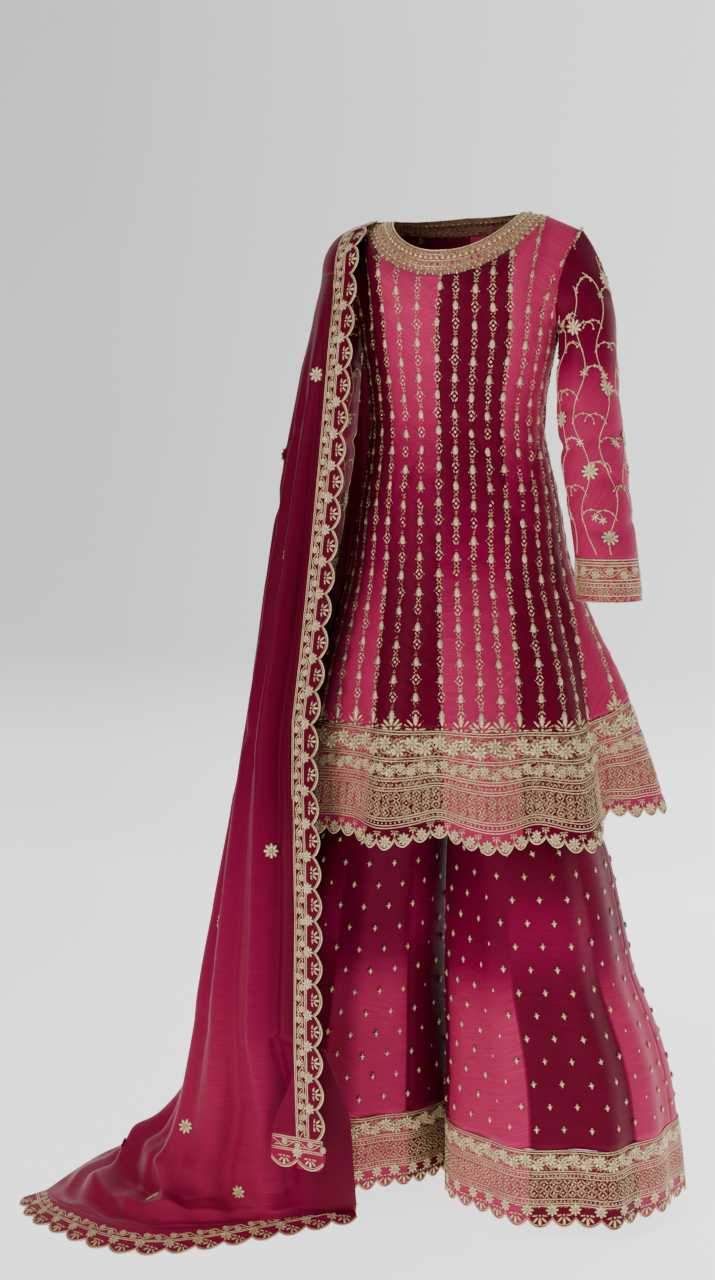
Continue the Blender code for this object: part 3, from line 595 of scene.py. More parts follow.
def makeSheet(name, rows, material, dye, outward, loop=False, relief=None, open=None):
    # rows run down the piece, columns run around it; relief moves points outwards; open names cells with no cloth
    grid = np.array(rows)
    rowCount, columnCount = grid.shape[:2]
    dye = np.asarray(dye, dtype=np.float32)
    relief = np.zeros((rowCount, columnCount)) if relief is None else np.asarray(relief)
    away = np.array([[tuple(outward(Vector(point))) for point in row] for row in grid[::4, ::4]])
    facing = (gridNormals(grid, loop)[::4, ::4] * away).sum()
    if facing < 0.0:
        grid, dye, relief = grid[:, ::-1], dye[:, ::-1], relief[:, ::-1]
    grid = grid + gridNormals(grid, loop) * relief[..., None]
    spans = columnCount if loop else columnCount - 1
    i, j = np.meshgrid(np.arange(rowCount - 1), np.arange(spans), indexing="ij")
    if open is not None:
        keep = ~open(i, spans - 1 - j if facing < 0.0 else j)
        i, j = i[keep], j[keep]
    k = (j + 1) % columnCount
    faces = np.stack([i * columnCount + j, (i + 1) * columnCount + j, (i + 1) * columnCount + k, i * columnCount + k],
                     axis=-1).reshape(-1, 4)
    mesh = bpy.data.meshes.new(name)
    mesh.from_pydata(grid.reshape(-1, 3).tolist(), [], faces.tolist())
    mesh.materials.append(material)
    attribute = mesh.attributes.new("dye", "FLOAT", "POINT")
    attribute.data.foreach_set("value", dye.reshape(-1))
    down = np.cumsum(np.vstack([np.zeros((1, columnCount)), np.linalg.norm(np.diff(grid, axis=0), axis=2)]), axis=0)
    wide = np.linalg.norm(np.diff(grid, axis=1, append=grid[:, :1] if loop else grid[:, -1:]), axis=2)
    meanWide = wide.mean(axis=0)
    across = np.concatenate([[0.0], np.cumsum(meanWide)])
    uvLayer = mesh.uv_layers.new(name="cloth")
    columns = np.stack([j, j, j + 1, j + 1], axis=-1).reshape(-1)
    rowsOf = np.stack([i, i + 1, i + 1, i], axis=-1).reshape(-1)
    uv = np.stack([across[columns], -down[rowsOf, columns % columnCount]], axis=-1)
    uvLayer.data.foreach_set("uv", uv.astype(np.float32).reshape(-1))
    mesh.shade_smooth()
    item = bpy.data.objects.new(name, mesh)
    bpy.context.scene.collection.objects.link(item)
    wall = item.modifiers.new("wall", "SOLIDIFY")
    wall.thickness = 0.0007
    wall.offset = -1.0
    applyModifiers(item)
    lengths = wide.sum(axis=1) if loop else wide[:, :-1].sum(axis=1)
    drop = float(down[-1].mean())
    item["cut"] = [float(lengths.max()), drop, float(lengths.mean() * drop)]
    return item


def applyModifiers(item):
    bpy.ops.object.select_all(action="DESELECT")
    item.select_set(True)
    bpy.context.view_layer.objects.active = item
    for modifier in list(item.modifiers):
        bpy.ops.object.modifier_apply(modifier=modifier.name)
    item.select_set(False)


def gridNormals(grid, loop):
    if loop:
        padded = np.concatenate([grid[:, -1:], grid, grid[:, :1]], axis=1)
        sideways = np.gradient(padded, axis=1)[:, 1:-1]
    else:
        sideways = np.gradient(grid, axis=1)
    downward = np.gradient(grid, axis=0)
    normal = np.cross(downward, sideways)
    return normal / np.maximum(np.linalg.norm(normal, axis=2, keepdims=True), 1e-9)


def declare(item, node):
    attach(item, "root")
    for name in node if isinstance(node, (list, tuple)) else [node]:
        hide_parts(name)
    width, length, area = item["cut"]
    print("%s %.3f x %.3f m, %.3f m2" % (item.name, width, length, area))
    area = min(area, width * length)


def creaseField(u, v, creases):
    # soft troughs and ridges: place, half length, half width, depth and slant
    out = np.zeros(u.shape)
    for centerU, centerV, halfLength, halfWidth, depth, slant in creases:
        angle = math.radians(slant)
        a = (u - centerU) * math.cos(angle) + (v - centerV) * math.sin(angle)
        b = -(u - centerU) * math.sin(angle) + (v - centerV) * math.cos(angle)
        out += depth * np.exp(-(a / halfLength) ** 2 - (b / halfWidth) ** 2)
    return out


# Motifs: each is modelled once from a primitive, then stamped on the cloth

def shapeFrom(segments, rings, width, length, height, taper=0.0):
    # a padded petal of thread from a sphere; the taper draws its tip in
    bpy.ops.object.select_all(action="DESELECT")
    bpy.ops.mesh.primitive_uv_sphere_add(segments=segments, ring_count=rings, radius=0.5)
    item = bpy.context.object
    bpy.ops.transform.rotate(value=math.pi / 2.0, orient_axis="X", center_override=(0.0, 0.0, 0.0))
    bpy.ops.transform.resize(value=(width, length, height * 2.0), center_override=(0.0, 0.0, 0.0))
    bpy.ops.object.transform_apply(location=True, rotation=True, scale=True)
    mesh = item.data
    points = np.array([tuple(vertex.co) for vertex in mesh.vertices])
    points[:, 0] *= 1.0 - taper * points[:, 1] / length
    faces = [tuple(polygon.vertices) for polygon in mesh.polygons]
    bpy.data.objects.remove(item, do_unlink=True)
    bpy.data.meshes.remove(mesh)
    return points, faces


def turned(shape, angle=0.0, at=(0.0, 0.0, 0.0), scale=1.0):
    points, faces = shape
    cosine, sine = math.cos(math.radians(angle)), math.sin(math.radians(angle))
    matrix = np.array([[cosine, -sine, 0.0], [sine, cosine, 0.0], [0.0, 0.0, 1.0]])
    return (points * scale) @ matrix.T + np.array(at), faces


def joined(*shapes):
    points, faces, start = [], [], 0
    for shapePoints, shapeFaces in shapes:
        points.append(shapePoints)
        faces += [tuple(index + start for index in face) for face in shapeFaces]
        start += len(shapePoints)
    return np.concatenate(points), faces


def ringOf(shape, count, radius, offset=0.0):
    parts = []
    for i in range(count):
        angle = 360.0 * i / count + offset
        turn = math.radians(angle)
        parts.append(turned(shape, angle, (-math.sin(turn) * radius, math.cos(turn) * radius, 0.0)))
    return parts


bead = shapeFrom(6, 2, 0.0026, 0.0026, 0.0014)
grainBead = shapeFrom(4, 2, 0.0030, 0.0030, 0.0014)
petal = shapeFrom(4, 2, 0.0062, 0.0090, 0.0016, 0.35)
leaf = shapeFrom(4, 2, 0.0038, 0.0100, 0.0014)
thinLeaf = shapeFrom(4, 2, 0.0024, 0.0100, 0.0012)
drop = shapeFrom(6, 2, 0.0068, 0.0125, 0.0018, 0.75)



def lozenge(shape, halfWidth, halfHeight, scale):
    # four leaves along the sides of a diamond
    lean = math.degrees(math.atan2(halfWidth, halfHeight))
    return [turned(shape, lean * sideX * sideY, (0.5 * halfWidth * sideX, 0.5 * halfHeight * sideY, 0.0), scale)
            for sideX in (-1, 1) for sideY in (-1, 1)]


flower = joined(*ringOf(petal, 8, 0.0062), *ringOf(grainBead, 6, 0.0026), turned(bead, scale=1.3))
smallFlower = joined(*ringOf(leaf, 6, 0.0040), bead)
rose = joined(*ringOf(petal, 9, 0.0082), *ringOf(turned(petal, 20, scale=0.85), 6, 0.0046, 20.0),
              *ringOf(leaf, 4, 0.0016, 45.0), turned(bead, scale=1.2))
wideDrop = shapeFrom(6, 4, 0.0088, 0.0140, 0.0020, 0.55)
flame = joined(wideDrop, turned(grainBead, at=(0.0, 0.0086, 0.0), scale=0.9),
               *[turned(grainBead, at=(0.0050 * side, -0.0034, 0.0), scale=1.1) for side in (-1, 1)],
               *[turned(grainBead, at=(0.0024 * side, -0.0078, 0.0), scale=0.9) for side in (-1, 1)],
               turned(bead, at=(0.0, -0.0024, 0.0014), scale=1.1))
diamond = joined(*lozenge(leaf, 0.0052, 0.0078, 0.86), turned(bead, scale=1.5),
                 *[turned(grainBead, at=(0.0062 * side, 0.0, 0.0), scale=0.8) for side in (-1, 1)])
smallDiamond = joined(turned(leaf, scale=0.95), turned(leaf, 90, scale=0.74), turned(grainBead, scale=1.5))
bowTie = joined(*[turned(leaf, 45.0 * sideX * sideY, (-0.0017 * sideX, 0.0017 * sideY, 0.0), 0.42)
                  for sideX in (-1, 1) for sideY in (-1, 1)], turned(grainBead, scale=0.6))
fleur = joined(turned(leaf, 0, (0.0, 0.0065, 0.0), 1.25), turned(leaf, 42, (-0.0052, 0.0042, 0.0), 1.05),
               turned(leaf, -42, (0.0052, 0.0042, 0.0), 1.05), turned(leaf, 80, (-0.0062, -0.0012, 0.0), 0.85),
               turned(leaf, -80, (0.0062, -0.0012, 0.0), 0.85), turned(bead, at=(0.0, -0.0014, 0.0), scale=1.2))
crown = joined(turned(drop, at=(0.0, 0.0100, 0.0)), turned(fleur, scale=1.25), turned(leaf, 62, (-0.0100, 0.0020, 0.0)),
               turned(leaf, -62, (0.0100, 0.0020, 0.0)), turned(grainBead, at=(0.0, 0.0190, 0.0)))
cell = joined(*lozenge(thinLeaf, 0.0070, 0.0070, 1.0), turned(bead, scale=1.3))
print("motifs ready")


class Embroidery:
    # gathers stamped motifs and laid cords, then makes them one piece

    def __init__(self, name, material, slot):
        self.name, self.material, self.slot = name, material, slot
        self.points, self.faces, self.rises, self.count = [], [], [], 0

    def take(self, points, faces, rise):
        # rise is 1 on top of a stitch and 0 at its foot; the gold thread paints shade from it, darker at the foot and
        # lighter on top
        self.points.append(points)
        self.rises.append(np.clip(rise, 0.0, 1.0))
        self.faces.append((np.asarray([len(face) for face in faces]), np.concatenate([np.asarray(face) for face in faces])
                           + self.count))
        self.count += len(points)

    def stamp(self, motif, spot, angle=0.0, scale=1.0):
        origin, across, up, out = spot
        points = turned(motif, angle, scale=scale)[0]
        rise = points[:, 2] / points[:, 2].max()
        self.take(points @ np.array([across, up, out]) + origin, motif[1], rise)

    def cord(self, spots, radius, loop=False, sides=4):
        # a laid cord follows the spots, half sunk in the cloth
        origins = np.array([spot[0] for spot in spots])
        outs = np.array([spot[3] for spot in spots])
        if loop:
            ahead = np.roll(origins, -1, axis=0) - np.roll(origins, 1, axis=0)
        else:
            ahead = np.gradient(origins, axis=0)
        sides3 = np.cross(ahead, outs)
        sides3 /= np.maximum(np.linalg.norm(sides3, axis=1, keepdims=True), 1e-9)
        rings = []
        for i in range(sides):
            turn = 2.0 * math.pi * i / sides
            rings.append(origins + sides3 * (radius * math.cos(turn)) + outs * (radius * math.sin(turn)))
        points = np.stack(rings, axis=1).reshape(-1, 3)
        count = len(spots)
        faces = []
        for i in range(count if loop else count - 1):
            j = (i + 1) % count
            for a in range(sides):
                b = (a + 1) % sides
                faces.append((i * sides + a, i * sides + b, j * sides + b, j * sides + a))
        if not loop:
            faces.append(tuple(range(sides))[::-1])
            faces.append(tuple((count - 1) * sides + a for a in range(sides)))
        rise = [math.sin(2.0 * math.pi * i / sides) for i in range(sides)]
        self.take(points, faces, np.tile(rise, count))

    def finish(self):
        points = np.concatenate(self.points)
        totals = np.concatenate([totals for totals, _ in self.faces])
        corners = np.concatenate([corners for _, corners in self.faces])
        mesh = bpy.data.meshes.new(self.name)
        mesh.vertices.add(len(points))
        mesh.vertices.foreach_set("co", points.astype(np.float32).reshape(-1))
        mesh.loops.add(len(corners))
        mesh.loops.foreach_set("vertex_index", corners.astype(np.int32))
        mesh.polygons.add(len(totals))
        starts = np.concatenate([[0], np.cumsum(totals)[:-1]])
        mesh.polygons.foreach_set("loop_start", starts.astype(np.int32))
        mesh.polygons.foreach_set("loop_total", totals.astype(np.int32))
        mesh.update(calc_edges=True)
        mesh.validate()
        mesh.materials.append(self.material)
        mesh.attributes.new("rise", "FLOAT", "POINT").data.foreach_set("value", np.concatenate(self.rises).astype(np.float32))
        mesh.shade_smooth()
        item = bpy.data.objects.new(self.name, mesh)
        bpy.context.scene.collection.objects.link(item)
        bpy.ops.object.select_all(action="DESELECT")
        item.select_set(True)
        bpy.context.view_layer.objects.active = item
        bpy.ops.object.mode_set(mode="EDIT")
        bpy.ops.mesh.select_all(action="SELECT")
        bpy.ops.mesh.normals_make_consistent(inside=False)
        bpy.ops.object.mode_set(mode="OBJECT")
        item.select_set(False)
        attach(item, "root")
        print(self.name, len(totals), "faces")
        return item


def spotOn(surface, u, v, outward, small=0.0015):
    # a place on a surface: point, way across, way up and way out; v is a distance down the piece
    point = surface(u, v)
    down = surface(u, v + small) - point
    across = surface(u + 1e-4, v) - point
    up = (-down).normalized()
    out = across.cross(up).normalized()
    if out.dot(outward(point)) < 0.0:
        out = -out
    across = up.cross(out).normalized()
    return np.array(point), np.array(across), np.array(up), np.array(out)


class Strip:
    # an edge strip: u runs along it from 0 to 1, v is the distance from its inner edge

    def __init__(self, surface, outward, loop):
        self.surface, self.outward, self.loop = surface, outward, loop
        line = [surface(u, 0.0) for u in steps(0.0, 1.0, 300)]
        self.length = lineLength(line)

    def spot(self, u, v):
        return spotOn(self.surface, u, v, self.outward)

    def places(self, pitch, even=None):
        count = even or max(1, round(self.length / pitch))
        return [(i + 0.5) / count for i in range(count)]


def layCord(work, strip, v, radius, spacing=0.006, wave=None):
    count = max(8, int(strip.length / spacing))
    us = steps(0.0, 1.0, count)
    if strip.loop:
        us = us[:-1]
    work.cord([strip.spot(u, v if wave is None else wave(u)) for u in us], radius, loop=strip.loop)


def layBeads(work, strip, v, pitch, shape=grainBead, scale=1.0):
    for u in strip.places(pitch):
        work.stamp(shape, strip.spot(u, v), scale=scale)


def layScroll(work, strip, v, depth, pitch):
    # a winding stem with a flower in each bend and leaves between
    places = strip.places(pitch)
    count = len(places) - len(places) % 2
    wave = lambda u: v - 0.32 * depth * math.cos(math.pi * count * u)
    layCord(work, strip, v, 0.0007, pitch / 7.0, wave)
    size = depth / 0.020
    for i in range(count):
        u = (i + 0.5) / count
        lean = 1.0 if i % 2 else -1.0
        work.stamp(flower, strip.spot(i / count, v - lean * 0.14 * depth), scale=0.78 * size)
        for offset, angle in ((-0.24, 50.0), (0.24, -50.0), (0.0, 90.0)):
            shift = offset * pitch / strip.length
            work.stamp(leaf, strip.spot(u + shift, v + lean * 0.24 * depth), angle=angle * lean, scale=0.80 * size)


def layLattice(work, strip, v, pitch, scale):
    for u in strip.places(pitch):
        work.stamp(cell, strip.spot(u, v), scale=scale)


def layScallops(work, strip, count, v, depth, zone, start=0.0, round=False):
    # a cord on the wavy edge with a fleur in each lobe and a flower at each junction, or round flowers in the lobes
    edge = lambda u: v - scallop(u * count + start, depth) - 0.0006
    layCord(work, strip, v, 0.0014, strip.length / count / 12.0, edge)
    inner = lambda u: v - scallop(u * count + start, depth) - 0.0036
    layCord(work, strip, v, 0.0006, strip.length / count / 10.0, inner)
    for i in range(count):
        middle = (i + 0.5 - start) / count
        junction = (i + 1.0 - start) / count
        if round:
            work.stamp(flower, strip.spot(middle % 1.0, v - 0.44 * zone), scale=zone / 0.029)
            if strip.loop or 0.0 < junction < 1.0:
                work.stamp(fleur, strip.spot(junction % 1.0, v - zone + 0.003), angle=180.0, scale=zone / 0.042)
        else:
            work.stamp(fleur, strip.spot(middle % 1.0, v - 0.62 * zone), angle=180.0, scale=zone / 0.024)
            if strip.loop or 0.0 < junction < 1.0:
                work.stamp(flower, strip.spot(junction % 1.0, v - zone + 0.001), scale=zone / 0.029)


def fromAxis(x, y):
    return lambda point: Vector((point.x - x, point.y - y, 0.0))


# Kurta panels

kurtaOut = fromAxis(0.0, 0.0)


def panelDye(panelIndex, height):
    # odd panels start pink and run to wine, the others run the other way
    if panelIndex % 2:
        return mix(1.0, 0.06, ease((1.37 - height) / 0.46))
    return mix(0.05, 0.86, ease((1.17 - height) / 0.34))


columns = kurta["columns"]
linePlaces = []
for panelIndex, count in enumerate(kurta["lines"]):
    linePlaces += [panelIndex + i / count for i in range(count)]


def puffAt(panel):
    # the cloth swells between its embroidered lines
    below = max(place for place in linePlaces if place <= panel + 1e-6)
    above = min([place for place in linePlaces if place > panel + 1e-6] + [8.0])
    share = (panel - below) / (above - below)
    return math.sin(math.pi * share) ** 0.7 if 0.0 < share < 1.0 else 0.0


kurtaCreases = [
    (3.4, 1.130, 0.25, 0.010, -0.0035, 8), (4.6, 1.175, 0.30, 0.010, -0.0030, -6), (5.6, 1.145, 0.30, 0.010, -0.0040, 10),
    (4.9, 1.095, 0.35, 0.012, -0.0030, 6), (3.8, 1.060, 0.30, 0.012, -0.0028, -8), (5.3, 1.050, 0.35, 0.012, -0.0030, -5),
    (6.2, 1.180, 0.35, 0.012, -0.0035, 4), (6.8, 1.120, 0.40, 0.012, -0.0035, -6), (7.6, 1.160, 0.45, 0.012, -0.0035, 5),
    (0.5, 1.130, 0.40, 0.012, -0.0035, -5), (1.4, 1.180, 0.35, 0.012, -0.0030, 6), (2.4, 1.110, 0.30, 0.010, -0.0030, -6),
    (5.4, 1.330, 0.25, 0.012, -0.0030, 35), (2.7, 1.330, 0.25, 0.012, -0.0030, -35), (4.3, 1.000, 0.35, 0.014, -0.0030, 5),
]
lowerShares = steps(0.0, 1.0, kurta["lowerRows"])
upperShares = steps(1.0, 0.0, kurta["upperRows"])[:-1]
for panelIndex in range(8):
    rows, heights = [], []
    panelColumns = steps(panelIndex, panelIndex + 1, columns)
    for share in upperShares:
        rows.append([kurtaUpper(panel, share) for panel in panelColumns])
    for share in lowerShares:
        row = []
        for panel in panelColumns:
            low = kurtaHem(panel) + kurta["borderDepth"]
            row.append(kurtaBody(panel, mix(kurta["bust"], low, share)))
        rows.append(row)
    heights = np.array([[point.z + neckHeight for point in row] for row in rows])
    u = np.tile(np.array(panelColumns), (len(rows), 1))
    puff = np.array([puffAt(panel) for panel in panelColumns])
    fade = np.clip((1.50 - heights) / 0.06, 0.0, 1.0)
    wander = 0.75 + 0.25 * np.sin(heights * 90.0 + u * 7.0) * np.sin(heights * 37.0 + u * 3.1)
    pucker = np.sin(heights * 205.0 + u * 9.0 + 2.6 * np.sin(heights * 31.0 + u * 5.0)) * np.sin(u * 19.0 + heights * 23.0)
    relief = puff[None, :] * fade * (kurta["puff"] * wander + kurta["pucker"] * pucker)
    relief += creaseField(u, heights, kurtaCreases)
    dye = np.array([[panelDye(panelIndex, height) for height in row] for row in heights])
    piece = makeSheet("kurtaPanel%d" % (panelIndex + 1), rows, kurtaSilk, dye, kurtaOut, relief=relief)
    declare(piece, "kurta_panel_%d" % (panelIndex + 1))
print("kurta panels ready")


kurtaWork = Embroidery("kurtaLines", gold, "kurta_border")


def lineSpots(panel, pitch):
    # places down one embroidered line, from its top edge to the border
    path = [kurtaUpper(panel, share) for share in steps(1.0, 0.0, 24)]
    low = kurtaHem(panel) + kurta["borderDepth"]
    path += [kurtaBody(panel, height) for height in steps(kurta["bust"], low, 60)[1:]]
    beside = [kurtaUpper(panel + 0.01, share) for share in steps(1.0, 0.0, 24)]
    beside += [kurtaBody(panel + 0.01, height) for height in steps(kurta["bust"], low, 60)[1:]]
    length = lineLength(path)
    count = int(length / pitch)
    spots = []
    for i in range(count):
        distance = length - (i + 0.75) * pitch
        here, ahead = along(path, distance), along(path, max(distance - 0.004, 0.0))
        side = along(beside, distance) - here
        up = (ahead - here).normalized()
        out = side.cross(up).normalized()
        across = up.cross(out).normalized()
        sink = float(creaseField(np.array(panel), np.array(here.z + neckHeight), kurtaCreases))
        spots.append((np.array(here + out * sink), np.array(across), np.array(up), np.array(out)))
    return spots


kurtaPitch = 0.026
for index, panel in enumerate(linePlaces):
    spots = lineSpots(panel, kurtaPitch)
    for i, spot in enumerate(spots):
        kurtaWork.stamp(flame if (i + index) % 2 else diamond, spot, scale=1.14 if (i + index) % 2 else 1.20)
    for origin, across, up, out in spots:
        kurtaWork.stamp(bowTie, (origin + up * kurtaPitch * 0.5, across, up, out), scale=1.25)
kurtaWork.finish()

# Kurta hem border

lobeColumns = 9
borderColumns = kurta["scallops"] * lobeColumns


def evenPanels():
    # places along the hem in panels, read by their share of its length
    panels = np.array(steps(0.0, 8.0, 480))
    line = [kurtaBody(panel, kurtaHem(panel)) for panel in panels]
    walked = np.concatenate([[0.0], np.cumsum([(b - a).length for a, b in zip(line, line[1:])])])
    return panels, walked / walked[-1]


hemPanels, hemShares = evenPanels()


def kurtaBorderPoint(u, distance):
    panel = float(np.interp(u % 1.0, hemShares, hemPanels))
    hem = kurtaHem(panel)
    dip = kurta["hemDip"] * fluteOut(kurta["flutes"], kurtaAngle(panel, kurta["hemFront"]))
    stretch = 1.0 + dip / kurta["borderDepth"]
    return kurtaBody(panel, hem + kurta["borderDepth"] - distance * stretch)


rows = []
for share in steps(0.0, 1.0, 14):
    row = []
    for i in range(borderColumns):
        edge = kurta["borderDepth"] - scallop(i / lobeColumns + 0.5, kurta["scallopDepth"])
        row.append(kurtaBorderPoint(i / borderColumns, share * edge))
    rows.append(row)
hemDyes = [panelDye(int(np.interp(i / borderColumns, hemShares, hemPanels)) % 8, 0.70) for i in range(borderColumns)]
kurtaBorder = makeSheet("kurtaBorder", rows, kurtaBorderSilk, [hemDyes] * len(rows), kurtaOut, loop=True)
declare(kurtaBorder, "kurta_hem_border")

borderWork = Embroidery("kurtaBorderWork", gold, "kurta_border")
borderStrip = Strip(kurtaBorderPoint, kurtaOut, True)
for distance in (0.004, 0.0075, 0.040, 0.0435, 0.066, 0.0695, 0.079, 0.0825, 0.118, 0.1215, 0.128, 0.1315):
    layCord(borderWork, borderStrip, distance, 0.0009, 0.007)
layScroll(borderWork, borderStrip, 0.0238, 0.030, 0.0185)
layScroll(borderWork, borderStrip, 0.0548, 0.020, 0.0140)
layBeads(borderWork, borderStrip, 0.0745, 0.0052, scale=1.0)
for distance in (0.0905, 0.1005, 0.1105):
    layLattice(borderWork, borderStrip, distance, 0.0125, 0.92)
layBeads(borderWork, borderStrip, 0.1248, 0.0052, scale=1.0)
layScallops(borderWork, borderStrip, kurta["scallops"], kurta["borderDepth"], kurta["scallopDepth"], 0.026, start=0.5, round=True)
borderWork.finish()
crownWork = Embroidery("kurtaCrowns", gold, "kurta_border")
for panel in linePlaces:
    spot = borderStrip.spot(float(np.interp(panel, hemPanels, hemShares)), -0.0015)
    crownWork.stamp(crown, spot, scale=1.25)
for i in range(110):
    crownWork.stamp(fleur, borderStrip.spot((i + 0.5) / 110, -0.004), scale=0.62)
crownWork.finish()
print("kurta border ready")

# Neck band

neckRows = 10
neckOut = lambda point: Vector((point.x, point.y, 0.06))
angles = steps(-180.0, 180.0, 160)[:-1]
rows = [[neckPoint(angle, share) for angle in angles] for share in steps(0.0, 1.0, neckRows)]
neckDye = [[0.85] * len(angles) for _ in rows]
neckBand = makeSheet("neckBand", rows, neckSilk, neckDye, neckOut, loop=True)
declare(neckBand, "neck_band")
neckStrip = Strip(lambda u, v: neckPoint(360.0 * u - 180.0, v / 0.0385), neckOut, True)
neckWork = Embroidery("neckWork", sequin, "neck_embroidery")
layCord(neckWork, neckStrip, 0.0006, 0.0012, 0.008)
layBeads(neckWork, neckStrip, 0.0045, 0.0042, scale=0.9)
layCord(neckWork, neckStrip, 0.0072, 0.0007, 0.008)
for distance, scale in ((0.0118, 2.6), (0.0292, 1.9)):
    layBeads(neckWork, neckStrip, distance, 0.0072, shape=bead, scale=scale)
layCord(neckWork, neckStrip, 0.0165, 0.0008, 0.008)
for u in neckStrip.places(0.0075):
    neckWork.stamp(leaf, neckStrip.spot(u, 0.0215), scale=0.85)
layCord(neckWork, neckStrip, 0.0255, 0.0008, 0.008)
for u in neckStrip.places(0.0080):
    neckWork.stamp(petal, neckStrip.spot(u, 0.0365), angle=180.0, scale=1.0)
neckWork.finish()
print("neck ready")

# Sleeves and cuffs

for side in ("right", "left"):
    table = sleeves[side]

    def sleeveOutward(point, table=table):
        centerX, centerY = fromTable(table, min(point.z + neckHeight, sleeves["start"]))[:2]
        return Vector((point.x - centerX, point.y - centerY, 0.0))

    turns = steps(0.0, 1.0, sleeves["columns"])[:-1]
    rows = [[sleeveCap(table, turn, share) for turn in turns] for share in steps(0.0, 1.0, sleeves["capRows"])[:-1]]
    for height in steps(sleeves["start"], sleeves["cuffTop"], sleeves["rows"]):
        rows.append([sleeveRound(table, turn, height) for turn in turns])
    heights = np.array([[point.z + neckHeight for point in row] for row in rows])
    around = np.tile(np.array(turns), (len(rows), 1))
    creases = []
    for turn, height, halfLength, halfWidth, depth, slant in sleeves["creases"]:
        for lap in (-1.0, 0.0, 1.0):
            creases.append(((turn + lap) * 0.30, height, halfLength, halfWidth, depth, slant))
    fade = np.clip((heights - sleeves["cuffTop"]) / 0.02, 0.0, 1.0)
    relief = creaseField(around * 0.30, heights, creases) * fade
    dye = np.clip((1.345 - heights) / 0.12, 0.0, 1.0)
    dye = 0.10 + 0.78 * dye * dye * (3.0 - 2.0 * dye)
    name = side.capitalize()
    sleeve = makeSheet("sleeve" + name, rows, sleeveSilk, dye, sleeveOutward, loop=True, relief=relief)
    declare(sleeve, "sleeve_" + side)

    cuffRows = []
    for height in steps(sleeves["cuffTop"], sleeves["cuffBottom"], 10):
        cuffRows.append([sleeveRound(table, turn, height) for turn in turns])
    cuff = makeSheet("cuff" + name, cuffRows, kurtaBorderSilk, [[0.75] * len(turns)] * len(cuffRows), sleeveOutward, loop=True)
    declare(cuff, "cuff_" + side)
    centerX, centerY = table[-1][1:3]
    cuffStrip = Strip(lambda u, v, table=table: sleeveRound(table, u, sleeves["cuffTop"] - v), fromAxis(centerX, centerY),
                      True)
    cuffWork = Embroidery("cuffWork" + name, gold, "cuff_embroidery")
    for distance in (0.0015, 0.0055, 0.0095, 0.0300, 0.0345, 0.0400, 0.0520):
        layCord(cuffWork, cuffStrip, distance, 0.0010, 0.006)
    layScroll(cuffWork, cuffStrip, 0.0198, 0.018, 0.020)
    layBeads(cuffWork, cuffStrip, 0.0372, 0.0060)
    layLattice(cuffWork, cuffStrip, 0.0462, 0.0105, 0.80)
    layCord(cuffWork, cuffStrip, 0.0612, 0.0010, 0.006)
    cuffWork.finish()

    # a vine of our own climbs the sleeve: stems, leaves, small flowers and a few roses
    def sleeveSurface(u, v, table=table):
        height = sleeves["start"] + 0.115 - v
        if height > sleeves["start"]:
            point = sleeveCap(table, u, 1.0 - (height - sleeves["start"]) / 0.15)
        else:
            point = sleeveRound(table, u, height)
        sink = float(creaseField(np.array(u * 0.30), np.array(point.z + neckHeight), creases))
        return point + sleeveOutward(point).normalized() * sink

    vineWork = Embroidery("sleeveVine" + name, gold, "cuff_embroidery")
    strands = 8
    for strand in range(strands):
        base = strand / strands
        path = []
        for distance in steps(0.018, 0.430, 72):
            turn = base + 0.034 * math.sin(distance * 44.0 + strand * 1.9) + 0.10 * distance
            path.append((turn, distance))
        vineWork.cord([spotOn(sleeveSurface, turn % 1.0, distance, sleeveOutward) for turn, distance in path], 0.0008)
        for i, (turn, distance) in enumerate(path[3:-6:6]):
            # a curled tendril with leaves leaves the stem by turns to each side and ends in a knot
            lean = 1.0 if (i + strand) % 2 else -1.0
            curl = []
            for share in steps(0.0, 1.0, 9):
                bend = math.radians(180.0 - (130.0 + 22.0 * (strand % 3)) * share)
                reach = mix(0.021, 0.011, share)
                along0 = turn + lean * (0.019 + reach * math.cos(bend)) / 0.29
                curl.append((along0, distance + 0.004 - reach * math.sin(bend)))
            spots = [spotOn(sleeveSurface, around0 % 1.0, down, sleeveOutward) for around0, down in curl]
            vineWork.cord(spots, 0.0006)
            vineWork.stamp(smallFlower if i % 3 == 1 else bead, spots[-1], scale=0.80 if i % 3 == 1 else 1.3)
            for pick, angle in ((2, 35.0), (4, -20.0), (6, -70.0)):
                vineWork.stamp(leaf, spots[pick], angle=-lean * angle, scale=0.62)
        for i in range(2):
            distance = 0.050 + 0.215 * i + 0.047 * (strand * 3 % 5)
            turn = base + 0.034 * math.sin(distance * 44.0 + strand * 1.9) + 0.10 * distance
            vineWork.stamp(rose, spotOn(sleeveSurface, turn % 1.0, distance, sleeveOutward), scale=1.05)
    vineWork.finish()
print("sleeves ready")

# Sharara

angles = steps(-180.0, 180.0, 96)[:-1]
rows = []
for height in steps(sharara["waist"] + sharara["waistband"], sharara["waist"], 4):
    rows.append([yokePoint(angle, sharara["waist"]) + Vector((0.0, 0.0, height - sharara["waist"])) for angle in angles])
waistband = makeSheet("waistband", rows, shararaSilk, [[0.2] * len(angles)] * len(rows), kurtaOut, loop=True)
declare(waistband, "sharara_waistband")
rows = [[yokePoint(angle, height) for angle in angles] for height in steps(sharara["waist"], sharara["crotch"], 14)]
yoke = makeSheet("yoke", rows, shararaSilk, [[0.2] * len(angles)] * len(rows), kurtaOut, loop=True)
declare(yoke, "sharara_yoke")


